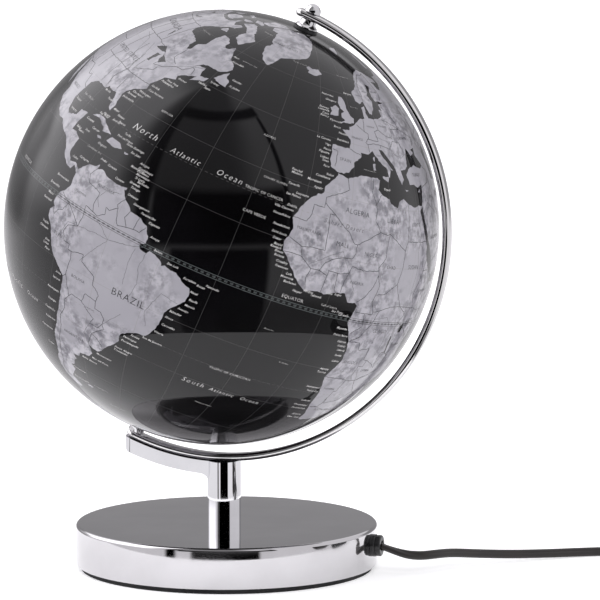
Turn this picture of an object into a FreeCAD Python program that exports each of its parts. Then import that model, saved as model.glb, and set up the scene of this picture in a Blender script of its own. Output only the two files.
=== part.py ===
import FreeCAD, Part
import math
import os

# Desktop globe on stand, in millimetres, +Z up.
# Origin: centre of the base's underside. The meridian arc and the arm lie in the XZ plane,
# the globe's axis leans towards +X, and the mains lead leaves the base at +X.

V = FreeCAD.Vector
X_AXIS = V(1, 0, 0)
Y_AXIS = V(0, 1, 0)
Z_AXIS = V(0, 0, 1)
FIT = 0.05             # radial play of a running fit or a close fit

# ---- Driving dimensions ----

# Globe
GLOBE_R = 125.0        # a 25 cm ball
GLOBE_X = -2.6         # centre of the ball
GLOBE_Z = 197.3
AXIS_TILT = 23.5       # degrees from the vertical
SHELL_WALL = 2.0
SEAM_RING_HALF = 5.0   # half the height of the joint band inside the equator
SEAM_RING_WALL = 1.4
THRUST_GAP = 0.3       # between the turning washers and the fixed collars

# Meridian arc
ARC_R_OUT = 135.3
ARC_THICK = 4.3
ARC_WIDTH = 9.0
ARC_EDGE = 1.9         # rounding of the band's long edges
ARC_R_IN = ARC_R_OUT - ARC_THICK
ARC_NORTH_LAP = 4.5    # from the pivot to where the rounded tip begins
SCREW_ANGLES = (-97.5, -106.0)
SCREW_R = 1.5
SCREW_HEAD_R = 3.0
SCREW_SINK = 1.6       # depth of the countersink

# Base
BASE_R = 87.3
BASE_TOP = 26.2
COVER_WALL = 1.2
COVER_EDGE = 2.0
PAD_R = 84.5
PAD_THICK = 3.0
PLATE_R = BASE_R - COVER_WALL - 0.2
PLATE_THICK = 1.5
BALLAST_R = 84.0
BALLAST_THICK = 9.5
PLATE_BOLT_CIRCLE = 62.0
PLATE_BOLT_ANGLES = (60.0, 180.0, 300.0)

# Column and arm, one casting
COLUMN_X = -1.4
COLUMN_R = 9.7
ARM_THICK = 12.0
ARM_R_OUT = 143.0      # the arm's underside is concentric with the globe
ARM_END_X = -60.2
ARM_CORNER = 4.0
ARM_EDGE = 3.5         # rounding of the arm's upright edges at its free end
ARM_FILLET = 5.5
NIPPLE_R = 5.0
NIPPLE_BORE = 3.5
NIPPLE_BOTTOM = 10.0
NIPPLE_TOP = 44.0
WIRE_R = 0.9
WIRE_PITCH = 2.0       # the two lamp wires lie side by side
WIRE_RUN_R = 140.2     # where they run inside the arm
CHANNEL_HALF_W = 2.2
CHANNEL_HALF_H = 1.25

# Mains lead, a flat two-core cord; its tube stands for the wide side
CORD_D = 5.2
INNER_LEAD_D = 4.2
LEAD_Z = 16.5          # height of the lead's way out of the base
BUSHING_R = 6.4
BUSHING_END = 93.0     # how far the bushing reaches along X
COIL_X = 276.0
COIL_Y = -44.0
COIL_R_OUTER_TURN = 33.0
COIL_R_INNER_TURN = 27.8
COIL_LAYERS = 4

# The lead's route from the base to the switch, from the switch to the coil, and to the plug
LEAD_ROUTE = [
    (93.0, 0.0, 16.0), (103.8, 1.0, 12.2), (113.6, 4.9, 10.6), (122.0, 12.6, 10.8),
    (128.3, 23.5, 10.0), (140.2, 40.0, 7.0), (155.8, 55.5, 4.6), (173.6, 70.0, 3.3),
    (192.0, 83.3, 2.7), (207.0, 91.0, 2.6), (222.0, 90.3, 2.6), (234.7, 82.3, 3.6),
    (242.0, 69.2, 5.4), (242.0, 55.0, 7.0),
]
MIDDLE_ROUTE = [(242.0, -7.0, 7.0), (242.0, -19.0, 5.2), (242.6, -31.0, 3.0), (243.0, -43.0, 2.6)]
TAIL_ROUTE = [
    (309.0, -44.0, 18.2), (309.0, -29.0, 16.0), (307.0, -15.0, 11.6), (303.6, -3.0, 8.0),
    (302.0, 8.0, 7.0),
]

# Switch and plug on the lead
SWITCH_X = 242.0
SWITCH_Y = 24.0
SWITCH_LEN = 62.0
SWITCH_WIDE = 27.0
SWITCH_HIGH = 15.0
SWITCH_SPLIT = 7.0     # height of the seam between the switch's two halves
SWITCH_WALL = 2.0
ROCKER_LEN = 20.0
ROCKER_WIDE = 10.0
ROCKER_Z = 11.5        # height of the rocker's axle
PLUG_X = 302.0
PLUG_Y = 8.0
PLUG_LEN = 36.0
PLUG_WIDE = 30.0
PLUG_HIGH = 14.0
PIN_R = 2.0
PIN_LEN = 19.0
PIN_SPACING = 19.0

# Lamp, along the globe's axis; heights are from the globe's centre
TUBE_R = 3.1
TUBE_BORE = 2.2
TUBE_BOTTOM = -135.1
TUBE_TOP = -92.0
HOLDER_R = 13.5
HOLDER_BOTTOM = -98.0
HOLDER_TOP = -62.0
BULB_R = 22.5
BULB_Z = -30.0
BULB_WALL = 0.9

CENTRE = V(GLOBE_X, 0, GLOBE_Z)


# ---- Helpers ----

def cylinder(radius, height, base=V(0, 0, 0), axis=Z_AXIS):
    return Part.makeCylinder(radius, height, base, axis)

# Small hardware
PLATE_TOP = PAD_THICK + PLATE_THICK
CLAMP_X = 47.0         # the cord clamp and its two screws
CLAMP_HIGH = 8.6
CLAMP_SCREW_Y = 7.5
CLAMP_SCREW_R = 1.5
TERMINAL_X0 = 12.0     # the terminal block, along X
TERMINAL_X1 = 31.6

# Pivots: directions in the XZ plane, and the pieces on the axis
NORTH = 90.0 - AXIS_TILT
SOUTH = NORTH - 180.0
NORTH_PIN_R = 2.5
NORTH_PIN_LOW = 112.0  # its end inside the globe
NORTH_BARREL = 4.5     # radius of the bushes' barrels in the shells
SOUTH_BARREL = 5.2
WASHER_TOP = GLOBE_R + 1.0
CAP_BOTTOM = HOLDER_BOTTOM + 16.6
CAP_TOP = CAP_BOTTOM + 22.5
BULB_NECK_R = 7.0
BULB_TAPER_R = 17.5    # where the neck meets the ball of the glass
BULB_TAPER_HIGH = 17.0

# Rocker and plug
ROCKER_REST = 8.0      # degrees the rocker leans at rest, switched off
ROCKER_AXLE_R = 1.2
PIN_DEPTH = 7.0        # how deep the pins are moulded into the plug


def tube(outer, inner, height, base=V(0, 0, 0), axis=Z_AXIS):
    bore_from = base - axis * 1.0
    return cylinder(outer, height, base, axis).cut(cylinder(inner, height + 2.0, bore_from, axis))


def box(x0, x1, y0, y1, z0, z1):
    return Part.makeBox(x1 - x0, y1 - y0, z1 - z0, V(x0, y0, z0))


def turned(profile):
    """A solid turned about Z from a closed outline of (radius, height) points."""
    wire = Part.makePolygon([V(r, 0, z) for r, z in profile + profile[:1]])
    return Part.Face(wire).revolve(V(0, 0, 0), Z_AXIS, 360)


def hexagon(across_flats, height, base):
    corner = across_flats / math.sqrt(3)
    points = [V(corner * math.cos(math.radians(60 * k)), corner * math.sin(math.radians(60 * k)), 0)
              for k in range(7)]
    return Part.Face(Part.makePolygon([base + p for p in points])).extrude(V(0, 0, height))


def on_axis(shape):
    """Moves a shape drawn about its own origin, along Z, onto the globe's axis."""
    placed = shape.copy()
    placed.rotate(V(0, 0, 0), Y_AXIS, AXIS_TILT)
    placed.translate(CENTRE)
    return placed


def radial(angle):
    """Unit vector from the globe's centre in the arc's plane; 0 degrees is +X, 90 is up."""
    a = math.radians(angle)
    return V(math.cos(a), 0, math.sin(a))


def around_globe(angle, radius):
    return CENTRE + radial(angle) * radius


def globe_cylinder(radius, half_width):
    """A cylinder about the globe's centre, square to the arc's plane."""
    return cylinder(radius, 2 * half_width, CENTRE - Y_AXIS * half_width, Y_AXIS)


def group(solids):
    return Part.makeCompound(solids)


def rounded_route(points, least_radius, name):
    """Straight runs joined by tangent arcs, each as large as its two runs allow."""
    points = [V(*p) for p in points]
    edges = []
    start = points[0]
    radii = []
    for before, corner, after in zip(points, points[1:], points[2:]):
        towards = (before - corner).normalize()
        away = (after - corner).normalize()
        half_turn = (math.pi - towards.getAngle(away)) / 2
        reach = 0.45 * min((before - corner).Length, (after - corner).Length)
        radii.append(reach / math.tan(half_turn))
        first = corner + towards * reach
        last = corner + away * reach
        bisector = (towards + away).normalize()
        centre = corner + bisector * (radii[-1] / math.cos(half_turn))
        middle = centre - bisector * radii[-1]
        edges.append(Part.LineSegment(start, first).toShape())
        edges.append(Part.Arc(first, middle, last).toShape())
        start = last
    edges.append(Part.LineSegment(start, points[-1]).toShape())
    tightest = min(radii)
    print(f"{name}: tightest arc {tightest:.1f} mm, at least {least_radius:.1f} wanted")
    return Part.Wire(edges)


def swept_tube(points, diameter, least_radius, name):
    path = rounded_route(points, least_radius, name)
    start = V(*points[0])
    direction = V(*points[1]) - start
    section = Part.Wire(Part.Circle(start, direction, diameter / 2).toShape())
    shape = path.makePipeShell([section], True, False)
    expected = math.pi * diameter ** 2 / 4 * path.Length
    print(f"{name}: length {path.Length:.1f} mm, volume {shape.Volume / expected:.4f} of section x length")
    return shape


# ---- Base ----

def base_pad():
    pad = cylinder(PAD_R, PAD_THICK)
    for angle in PLATE_BOLT_ANGLES:
        pad = pad.cut(cylinder(5.5, PAD_THICK + 2, bolt_point(angle, -1)))
    return pad


def bolt_point(angle, z):
    a = math.radians(angle)
    return V(PLATE_BOLT_CIRCLE * math.cos(a), PLATE_BOLT_CIRCLE * math.sin(a), z)


def base_plate():
    plate = cylinder(PLATE_R, PLATE_THICK, V(0, 0, PAD_THICK))
    for angle in PLATE_BOLT_ANGLES:
        plate = plate.cut(cylinder(2.2, PLATE_THICK + 2, bolt_point(angle, PAD_THICK - 1)))
    return plate


def base_plate_screws():
    solids = []
    for angle in PLATE_BOLT_ANGLES:
        head = cylinder(3.9, 2.3, bolt_point(angle, PAD_THICK - 2.3))
        head = head.makeFillet(0.9, [e for e in head.Edges if abs(e.CenterOfMass.z - (PAD_THICK - 2.3)) < 0.01
                                     and e.Length > 1.5 * math.pi * 3.9])
        shank = cylinder(2.0, 20.0, bolt_point(angle, PAD_THICK))
        slot = box(-5, 5, -0.4, 0.4, -0.1, 0.9)
        slot.translate(bolt_point(angle, PAD_THICK - 2.3))
        solids.append(head.fuse(shank).removeSplitter().cut(slot))
    return group(solids)


def plate_spacers():
    low = PAD_THICK + PLATE_THICK
    high = ballast_bottom() - low
    return group([tube(4.0, 2.2, high, bolt_point(angle, low)) for angle in PLATE_BOLT_ANGLES])


def ballast_bottom():
    return BASE_TOP - COVER_WALL - BALLAST_THICK


def ballast():
    """Cast-iron weight, clamped under the cover, with a slot for the lead's bushing."""
    low = ballast_bottom()
    weight = cylinder(BALLAST_R, BALLAST_THICK, V(0, 0, low))
    weight = weight.cut(cylinder(NIPPLE_R + 0.3, BALLAST_THICK + 2, V(COLUMN_X, 0, low - 1)))
    weight = weight.cut(box(56, BALLAST_R + 5, -11, 11, low - 1, low + BALLAST_THICK + 1))
    for angle in PLATE_BOLT_ANGLES:
        weight = weight.cut(cylinder(2.0 + FIT, 8.0, bolt_point(angle, low - 0.5)))
    return weight


def base_cover():
    """Chromed steel cup, open below."""
    outer = cylinder(BASE_R, BASE_TOP - PAD_THICK, V(0, 0, PAD_THICK))
    rim = [e for e in outer.Edges if abs(e.CenterOfMass.z - BASE_TOP) < 0.01 and e.Length > 100]
    outer = outer.makeFillet(COVER_EDGE, rim)
    inner = cylinder(BASE_R - COVER_WALL, BASE_TOP - COVER_WALL - PAD_THICK + 1, V(0, 0, PAD_THICK - 1))
    inner_top = BASE_TOP - COVER_WALL
    inner_rim = [e for e in inner.Edges if abs(e.CenterOfMass.z - inner_top) < 0.01 and e.Length > 100]
    inner = inner.makeFillet(COVER_EDGE - COVER_WALL, inner_rim)
    cover = outer.cut(inner)
    cover = cover.cut(cylinder(NIPPLE_R + 0.3, 10, V(COLUMN_X, 0, BASE_TOP - 5)))
    return cover.cut(cylinder(4.3, 20, V(BASE_R - 10, 0, LEAD_Z), X_AXIS))


def cable_bushing():
    """Black stepped bushing, seated on the curved wall and held by its inner collar."""
    flange = cylinder(BUSHING_R, 3.2, V(BASE_R - 1.0, 0, LEAD_Z), X_AXIS)
    nose = cylinder(BUSHING_R - 0.3, BUSHING_END - BASE_R - 2.2, V(BASE_R + 2.2, 0, LEAD_Z), X_AXIS)
    nose = nose.makeFillet(0.7, [e for e in nose.Edges if abs(e.CenterOfMass.x - BUSHING_END) < 0.01
                                 and e.Length > 20])
    outside = flange.fuse(nose).cut(cylinder(BASE_R, 40, V(0, 0, 0)))
    neck = cylinder(4.25, 6.0, V(BASE_R - 4.0, 0, LEAD_Z), X_AXIS)
    collar = cylinder(6.0, 3.0, V(BASE_R - 6.0, 0, LEAD_Z), X_AXIS)
    collar = collar.common(cylinder(BASE_R - COVER_WALL, 40, V(0, 0, 0)))
    bore = cylinder(CORD_D / 2, 20, V(BASE_R - 10, 0, LEAD_Z - 0.4), X_AXIS)
    return outside.fuse([neck, collar]).removeSplitter().cut(bore)


def inner_lead():
    """The mains lead inside the base, from the bushing through the clamp to the terminals."""
    route = [(BUSHING_END, 0, LEAD_Z - 0.4), (80.0, 0, LEAD_Z - 0.4), (67.0, 0, 12.2),
             (56.0, 0, 8.7), (44.0, 0, 8.5), (TERMINAL_X1, 0, 8.6)]
    return swept_tube(route, INNER_LEAD_D, 3 * INNER_LEAD_D, "inner_lead")


def cord_clamp():
    """Plastic bridge that presses the lead onto the base plate."""
    bridge = box(CLAMP_X - 5, CLAMP_X + 5, -11, 11, PLATE_TOP, PLATE_TOP + CLAMP_HIGH)
    tunnel = cylinder(INNER_LEAD_D / 2 + 0.35, 12, V(CLAMP_X - 6, 0, 8.6), X_AXIS)
    bridge = bridge.cut(tunnel)
    for y in (-CLAMP_SCREW_Y, CLAMP_SCREW_Y):
        bridge = bridge.cut(cylinder(CLAMP_SCREW_R + FIT, 12, V(CLAMP_X, y, PLATE_TOP - 1)))
    return bridge


def clamp_screws():
    solids = []
    for y in (-CLAMP_SCREW_Y, CLAMP_SCREW_Y):
        shank = cylinder(CLAMP_SCREW_R, CLAMP_HIGH, V(CLAMP_X, y, PLATE_TOP))
        head = cylinder(2.7, 1.8, V(CLAMP_X, y, PLATE_TOP + CLAMP_HIGH))
        solids.append(shank.fuse(head).removeSplitter())
    return group(solids)


def terminal_block():
    block = box(TERMINAL_X0, TERMINAL_X1, -8, 8, PLATE_TOP, PLATE_TOP + 9)
    block = block.makeFillet(1.0, [e for e in block.Edges if abs(e.tangentAt(e.FirstParameter).z) > 0.9])
    for x in (TERMINAL_X0 + 5, TERMINAL_X1 - 5):
        for y in (-4, 4):
            block = block.cut(cylinder(1.6 + FIT, 6, V(x, y, PLATE_TOP + 4)))
    return block


def terminal_screws():
    return group([cylinder(1.6, 4.5, V(x, y, PLATE_TOP + 4)) for x in (TERMINAL_X0 + 5, TERMINAL_X1 - 5)
                  for y in (-4, 4)])


# ---- Column, arm and arc ----

def column_nipple():
    return tube(NIPPLE_R, NIPPLE_BORE, NIPPLE_TOP - NIPPLE_BOTTOM, V(COLUMN_X, 0, NIPPLE_BOTTOM))


def nipple_washer():
    return tube(9.0, NIPPLE_R + 0.2, 1.2, V(COLUMN_X, 0, ballast_bottom() - 1.2))


def nipple_nut():
    base = V(COLUMN_X, 0, ballast_bottom() - 4.4)
    return hexagon(14.0, 3.2, base).cut(cylinder(NIPPLE_R + FIT, 6, base - Z_AXIS))


def wire_line():
    """The lamp wires' line in the XZ plane, from the terminals to the lamp holder."""
    points = [V(TERMINAL_X0, 0, 8.6), V(4.5, 0, 6.6), V(COLUMN_X, 0, 8.0),
              V(COLUMN_X, 0, GLOBE_Z - WIRE_RUN_R)]
    points += [around_globe(angle, WIRE_RUN_R) for angle in (-94.0, -98.5, -103.0, -107.5)]
    points += [around_globe(-110.6, 138.9), around_globe(SOUTH, 137.4), around_globe(SOUTH, -HOLDER_BOTTOM)]
    return points


def strip(points, half_height, half_width):
    """A slot that follows a line in the XZ plane."""
    solids = []
    for a, b in zip(points, points[1:]):
        along = (b - a).normalize()
        side = V(-along.z, 0, along.x) * half_height
        corners = [a + side, b + side, b - side, a - side, a + side]
        face = Part.Face(Part.makePolygon([c - Y_AXIS * half_width for c in corners]))
        solids.append(face.extrude(Y_AXIS * (2 * half_width)))
        solids.append(cylinder(half_height, 2 * half_width, b - Y_AXIS * half_width, Y_AXIS))
    return solids[0].fuse(solids[1:])


def column_arm():
    """Polished casting: the round column with the arm that carries the arc."""
    half = ARM_THICK / 2
    top = GLOBE_Z - ARC_R_OUT + 8
    column = cylinder(COLUMN_R, top - BASE_TOP, V(COLUMN_X, 0, BASE_TOP))
    sector = globe_cylinder(ARM_R_OUT, half)
    left = box(ARM_END_X, COLUMN_X, -half, half, 40, 95)
    arm = sector.common(left)
    free_end = [e for e in arm.Edges if abs(e.CenterOfMass.x - ARM_END_X) < 0.01]
    upright = [e for e in free_end if abs(e.CenterOfMass.y) > half - 0.01]
    arm = arm.makeFillet(ARM_EDGE, upright)
    casting = column.fuse(arm_corner_trim(arm)).fuse(arm_web()).removeSplitter()
    casting = casting.cut(globe_cylinder(ARC_R_OUT, 30))
    casting = casting.cut(cylinder(NIPPLE_R + FIT, NIPPLE_TOP - BASE_TOP + 1, V(COLUMN_X, 0, BASE_TOP - 1)))
    bore_top = GLOBE_Z - WIRE_RUN_R + CHANNEL_HALF_H + 0.3
    casting = casting.cut(cylinder(3.2, bore_top - NIPPLE_TOP + 1, V(COLUMN_X, 0, NIPPLE_TOP - 1)))
    casting = casting.cut(strip(wire_line()[3:-1], CHANNEL_HALF_H, CHANNEL_HALF_W))
    mouth = [around_globe(SOUTH, 137.6), around_globe(SOUTH, 130)]
    casting = casting.cut(strip(mouth, CHANNEL_HALF_W, CHANNEL_HALF_W))
    for angle in SCREW_ANGLES:
        casting = casting.cut(cylinder(1.5 + FIT, 20, around_globe(angle, 138.2), radial(angle) * -1))
    return casting


def arm_corner_trim(arm):
    """Rounds the lower corner of the arm's free end."""
    centre_r = ARM_R_OUT - ARM_CORNER
    centre_x = ARM_END_X + ARM_CORNER
    centre_z = GLOBE_Z - math.sqrt(centre_r ** 2 - (centre_x - GLOBE_X) ** 2)
    centre = V(centre_x, 0, centre_z)
    outward = (centre - CENTRE).normalize()
    touch = CENTRE + outward * ARM_R_OUT
    half = ARM_THICK / 2 + 1
    corner_block = box(ARM_END_X - 1, touch.x, -half, half, centre_z - 12, centre_z)
    slanted = Part.Face(Part.makePolygon([V(p.x, -half, p.z) for p in
                                          (centre, touch, touch + outward * 3, V(touch.x, 0, centre_z - 12),
                                           V(ARM_END_X - 1, 0, centre_z - 12), V(ARM_END_X - 1, 0, centre_z),
                                           centre)]))
    region = slanted.extrude(V(0, 2 * half, 0))
    rounding = cylinder(ARM_CORNER, 2 * half, V(centre_x, -half, centre_z), Y_AXIS)
    return arm.cut(region.cut(rounding).common(corner_block.fuse(region)))


def arm_web():
    """The fillet under the arm where it runs into the column."""
    half = ARM_THICK / 2
    side = COLUMN_X - math.sqrt(COLUMN_R ** 2 - half ** 2)
    centre_x = side - ARM_FILLET
    centre_r = ARM_R_OUT + ARM_FILLET
    centre_z = GLOBE_Z - math.sqrt(centre_r ** 2 - (centre_x - GLOBE_X) ** 2)
    block = box(centre_x, COLUMN_X, -half, half, centre_z, centre_z + ARM_FILLET + 1)
    return block.cut(cylinder(ARM_FILLET, ARM_THICK + 2, V(centre_x, -half - 1, centre_z), Y_AXIS))


def band_section(angle, full):
    """The arc's cross-section at an angle, or its +Y half, with rounded corners."""
    half = ARC_WIDTH / 2
    low = -half if full else 0
    outward = radial(angle)
    centre = around_globe(angle, ARC_R_IN + ARC_THICK / 2)
    corner = ARC_EDGE * (1 - math.sqrt(0.5))

    def at(y, r):
        return centre + Y_AXIS * y + outward * r

    side = ARC_THICK / 2
    inset = side - ARC_EDGE
    edges = [Part.LineSegment(at(low if not full else low + ARC_EDGE, side), at(half - ARC_EDGE, side)),
             Part.Arc(at(half - ARC_EDGE, side), at(half - corner, side - corner), at(half, inset)),
             Part.LineSegment(at(half, inset), at(half, -inset)),
             Part.Arc(at(half, -inset), at(half - corner, corner - side), at(half - ARC_EDGE, -side))]
    if full:
        edges += [Part.LineSegment(at(half - ARC_EDGE, -side), at(ARC_EDGE - half, -side)),
                  Part.Arc(at(ARC_EDGE - half, -side), at(corner - half, corner - side), at(-half, -inset)),
                  Part.LineSegment(at(-half, -inset), at(-half, inset)),
                  Part.Arc(at(-half, inset), at(corner - half, side - corner), at(ARC_EDGE - half, side))]
    else:
        edges += [Part.LineSegment(at(half - ARC_EDGE, -side), at(0, -side)),
                  Part.LineSegment(at(0, -side), at(0, side))]
    return Part.Face(Part.Wire([e.toShape() for e in edges]))


def meridian_arc():
    """Polished band with rounded edges and round ends, drilled for its pivots and screws."""
    start = SOUTH
    stop = NORTH + math.degrees(ARC_NORTH_LAP / (ARC_R_OUT - ARC_THICK / 2))
    band = band_section(start, True).revolve(CENTRE, Y_AXIS, start - stop)
    south_end = band_section(start, False).revolve(CENTRE, radial(start), -180)
    north_end = band_section(stop, False).revolve(CENTRE, radial(stop), 180)
    band = band.fuse([south_end, north_end])
    band = band.cut(cylinder(NORTH_PIN_R + FIT, 12, around_globe(NORTH, ARC_R_IN - 3), radial(NORTH)))
    band = band.cut(cylinder(TUBE_R + FIT, 12, around_globe(SOUTH, ARC_R_IN - 3), radial(SOUTH)))
    for angle in SCREW_ANGLES:
        band = band.cut(cylinder(1.5 + FIT, 12, around_globe(angle, ARC_R_IN - 3), radial(angle)))
        below = 0.8
        mouth = SCREW_HEAD_R + FIT + below * (SCREW_HEAD_R - SCREW_R) / SCREW_SINK
        band = band.cut(Part.makeCone(mouth, SCREW_R + FIT, SCREW_SINK + below,
                                      around_globe(angle, ARC_R_IN - below), radial(angle)))
    return band


def arc_screws():
    solids = []
    for angle in SCREW_ANGLES:
        head = Part.makeCone(SCREW_HEAD_R, SCREW_R, SCREW_SINK, around_globe(angle, ARC_R_IN), radial(angle))
        shank = cylinder(SCREW_R, 6.6, around_globe(angle, ARC_R_IN + 0.6), radial(angle))
        slot = box(-4, 4, -0.35, 0.35, -1, 0.6)
        slot.rotate(V(0, 0, 0), Y_AXIS, 90 - angle)
        slot.translate(around_globe(angle, ARC_R_IN))
        solids.append(head.fuse(shank).removeSplitter().cut(slot))
    return group(solids)


# ---- Pivots and lamp, on the globe's axis ----

def north_pin():
    """Dome-headed pivot screw through the arc into the globe's upper bush."""
    head = Part.makeSphere(4.9, V(0, 0, ARC_R_OUT + 0.2)).common(cylinder(4.7, 8, V(0, 0, ARC_R_OUT)))
    shank = cylinder(NORTH_PIN_R, ARC_R_OUT - NORTH_PIN_LOW + 0.5, V(0, 0, NORTH_PIN_LOW))
    tip = [e for e in shank.Edges if abs(e.CenterOfMass.z - NORTH_PIN_LOW) < 0.01 and e.Length > 10]
    shank = shank.makeChamfer(0.6, tip)
    return on_axis(head.fuse(shank).removeSplitter())


def collar(low, high, bore, sign):
    """Flared spacer between the arc and the globe; its wide end faces the globe."""
    profile = [(bore, low), (6.3, low), (6.3, low + 0.9), (5.0, low + 2.0), (4.6, high), (bore, high)]
    shape = turned(profile)
    if sign < 0:
        shape.rotate(V(0, 0, 0), X_AXIS, 180)
    return on_axis(shape)


def north_collar():
    return collar(WASHER_TOP + THRUST_GAP, ARC_R_IN, NORTH_PIN_R + FIT, 1).cut(outside_band())


def south_collar():
    return collar(WASHER_TOP + THRUST_GAP, ARC_R_IN, TUBE_R + FIT, -1).cut(outside_band())


def outside_band():
    """Everything beyond the band's inner face, which the collars are shaped to."""
    return globe_cylinder(ARC_R_OUT + 10, 30).cut(globe_cylinder(ARC_R_IN, 31))


def thrust_washer(bore, sign):
    disc = tube(7.15, bore, WASHER_TOP - 124.0, V(0, 0, 124.0)).cut(Part.makeSphere(GLOBE_R))
    if sign < 0:
        disc.rotate(V(0, 0, 0), X_AXIS, 180)
    return on_axis(disc)


def polar_bush(barrel, bore, sign):
    """Moulded bush in a polar hole, with a flange against the inside of the shell."""
    inner = GLOBE_R - SHELL_WALL
    sleeve = tube(barrel, bore, GLOBE_R - 112.0 - 0.2, V(0, 0, 112.0))
    flange = tube(9.0, bore, 5.0, V(0, 0, inner - 4.0)).common(Part.makeSphere(inner))
    bush = sleeve.fuse(flange).removeSplitter()
    if sign < 0:
        bush.rotate(V(0, 0, 0), X_AXIS, 180)
    return on_axis(bush)


def globe_shell(sign, polar_hole):
    ball = Part.makeSphere(GLOBE_R).cut(Part.makeSphere(GLOBE_R - SHELL_WALL))
    half = ball.common(box(-200, 200, -200, 200, 0, 200))
    half = half.cut(cylinder(polar_hole + FIT, 20, V(0, 0, GLOBE_R - 15)))
    if sign < 0:
        half.rotate(V(0, 0, 0), X_AXIS, 180)
    return on_axis(half)


def equator_ring():
    """Joint band glued inside both hemispheres."""
    inner = GLOBE_R - SHELL_WALL
    ring = Part.makeSphere(inner).cut(cylinder(inner - SEAM_RING_WALL - 0.2, 60, V(0, 0, -30)))
    return on_axis(ring.common(box(-200, 200, -200, 200, -SEAM_RING_HALF, SEAM_RING_HALF)))


def south_tube():
    return on_axis(tube(TUBE_R, TUBE_BORE, TUBE_TOP - TUBE_BOTTOM, V(0, 0, TUBE_BOTTOM)))


def lamp_holder_cap():
    """Moulded cap that screws onto the tube and closes the holder's lower end."""
    bore = TUBE_R + FIT
    profile = [(bore, HOLDER_BOTTOM), (8.0, HOLDER_BOTTOM), (HOLDER_R - 1, HOLDER_BOTTOM + 6),
               (HOLDER_R, HOLDER_BOTTOM + 9), (HOLDER_R, HOLDER_BOTTOM + 14),
               (HOLDER_R - 2, HOLDER_BOTTOM + 14), (HOLDER_R - 2, HOLDER_BOTTOM + 8),
               (bore, HOLDER_BOTTOM + 4)]
    return on_axis(turned(profile))


def lamp_holder_sleeve():
    low = HOLDER_BOTTOM + 14
    profile = [(7.4, low), (HOLDER_R, low), (HOLDER_R, low + 8), (HOLDER_R - 1.5, low + 10),
               (HOLDER_R - 1.5, HOLDER_TOP), (7.4, HOLDER_TOP)]
    return on_axis(turned(profile))


def lamp_contact():
    """Ceramic base of the holder with the centre contact."""
    low = HOLDER_BOTTOM + 9
    profile = [(0, low + 1), (7.2, low + 1), (7.2, low + 6.4), (2.5, low + 6.4), (2.5, low + 7.4),
               (0, low + 7.4)]
    return on_axis(turned(profile))


def bulb_cap():
    low = CAP_BOTTOM
    profile = [(0, low), (2.4, low), (4.5, low + 2.2), (6.9, low + 3.2), (6.9, low + 21), (6.5, CAP_TOP),
               (0, CAP_TOP)]
    return on_axis(turned(profile))


def bulb_glass():
    """Golf-ball bulb that screws into the holder."""
    ball = V(0, 0, BULB_Z)
    neck = V(0, 0, CAP_TOP)
    outer = Part.makeSphere(BULB_R, ball)
    outer = outer.fuse(Part.makeCone(BULB_NECK_R, BULB_TAPER_R, BULB_TAPER_HIGH, neck))
    inner = Part.makeSphere(BULB_R - BULB_WALL, ball)
    inner = inner.fuse(Part.makeCone(BULB_NECK_R - BULB_WALL, BULB_TAPER_R - BULB_WALL, BULB_TAPER_HIGH,
                                     neck + V(0, 0, BULB_WALL)))
    return on_axis(outer.removeSplitter().cut(inner.removeSplitter()))


def lamp_wires():
    """Two insulated wires through the column, the arm and the lower pivot tube."""
    solids = []
    for side in (-1, 1):
        points = [p + Y_AXIS * (side * WIRE_PITCH / 2) for p in wire_line()]
        path_points = [(p.x, p.y, p.z) for p in points]
        solids.append(swept_tube(path_points, 2 * WIRE_R, 2 * WIRE_R, "lamp_wires"))
    return group(solids)


# ---- Mains lead with its switch and plug ----

def cord_lead():
    return swept_tube(LEAD_ROUTE, CORD_D, 5 * CORD_D, "cord_lead")


def cord_middle():
    return swept_tube(MIDDLE_ROUTE, CORD_D, 5 * CORD_D, "cord_middle")


def cord_tail():
    return swept_tube(TAIL_ROUTE, CORD_D, 5 * CORD_D, "cord_tail")


def cord_coil():
    outer = COIL_R_OUTER_TURN + CORD_D / 2
    inner = COIL_R_INNER_TURN - CORD_D / 2
    return tube(outer, inner, COIL_LAYERS * CORD_D, V(COIL_X, COIL_Y, 0))


def switch_block(low, high, inset):
    """A slab of the switch's rounded outline, in its own place."""
    half_x = SWITCH_WIDE / 2 - inset
    half_y = SWITCH_LEN / 2 - inset
    slab = box(SWITCH_X - half_x, SWITCH_X + half_x, SWITCH_Y - half_y, SWITCH_Y + half_y, low, high)
    upright = [e for e in slab.Edges if abs(e.tangentAt(e.FirstParameter).z) > 0.9]
    return slab.makeFillet(8.0 - inset, upright)


def switch_cord_holes():
    y = SWITCH_Y - SWITCH_LEN / 2 - 1
    return cylinder(CORD_D / 2 + FIT, SWITCH_LEN + 2, V(SWITCH_X, y, SWITCH_SPLIT), Y_AXIS)


def switch_base():
    case = switch_block(0, SWITCH_SPLIT, 0)
    rim = [e for e in case.Edges if abs(e.CenterOfMass.z) < 0.01]
    case = case.makeFillet(1.2, rim).cut(switch_block(SWITCH_WALL, SWITCH_SPLIT + 1, SWITCH_WALL))
    posts = [cylinder(3.0, SWITCH_SPLIT, V(SWITCH_X, y, 0)) for y in switch_post_ys()]
    case = case.fuse(posts).removeSplitter().cut(switch_cord_holes())
    for y in switch_post_ys():
        case = case.cut(cylinder(1.3 + FIT, 20, V(SWITCH_X, y, -1)))
        case = case.cut(cylinder(2.5, 2.0, V(SWITCH_X, y, -0.2)))
    return case


def switch_post_ys():
    return (SWITCH_Y - 19.0, SWITCH_Y + 19.0)


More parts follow.
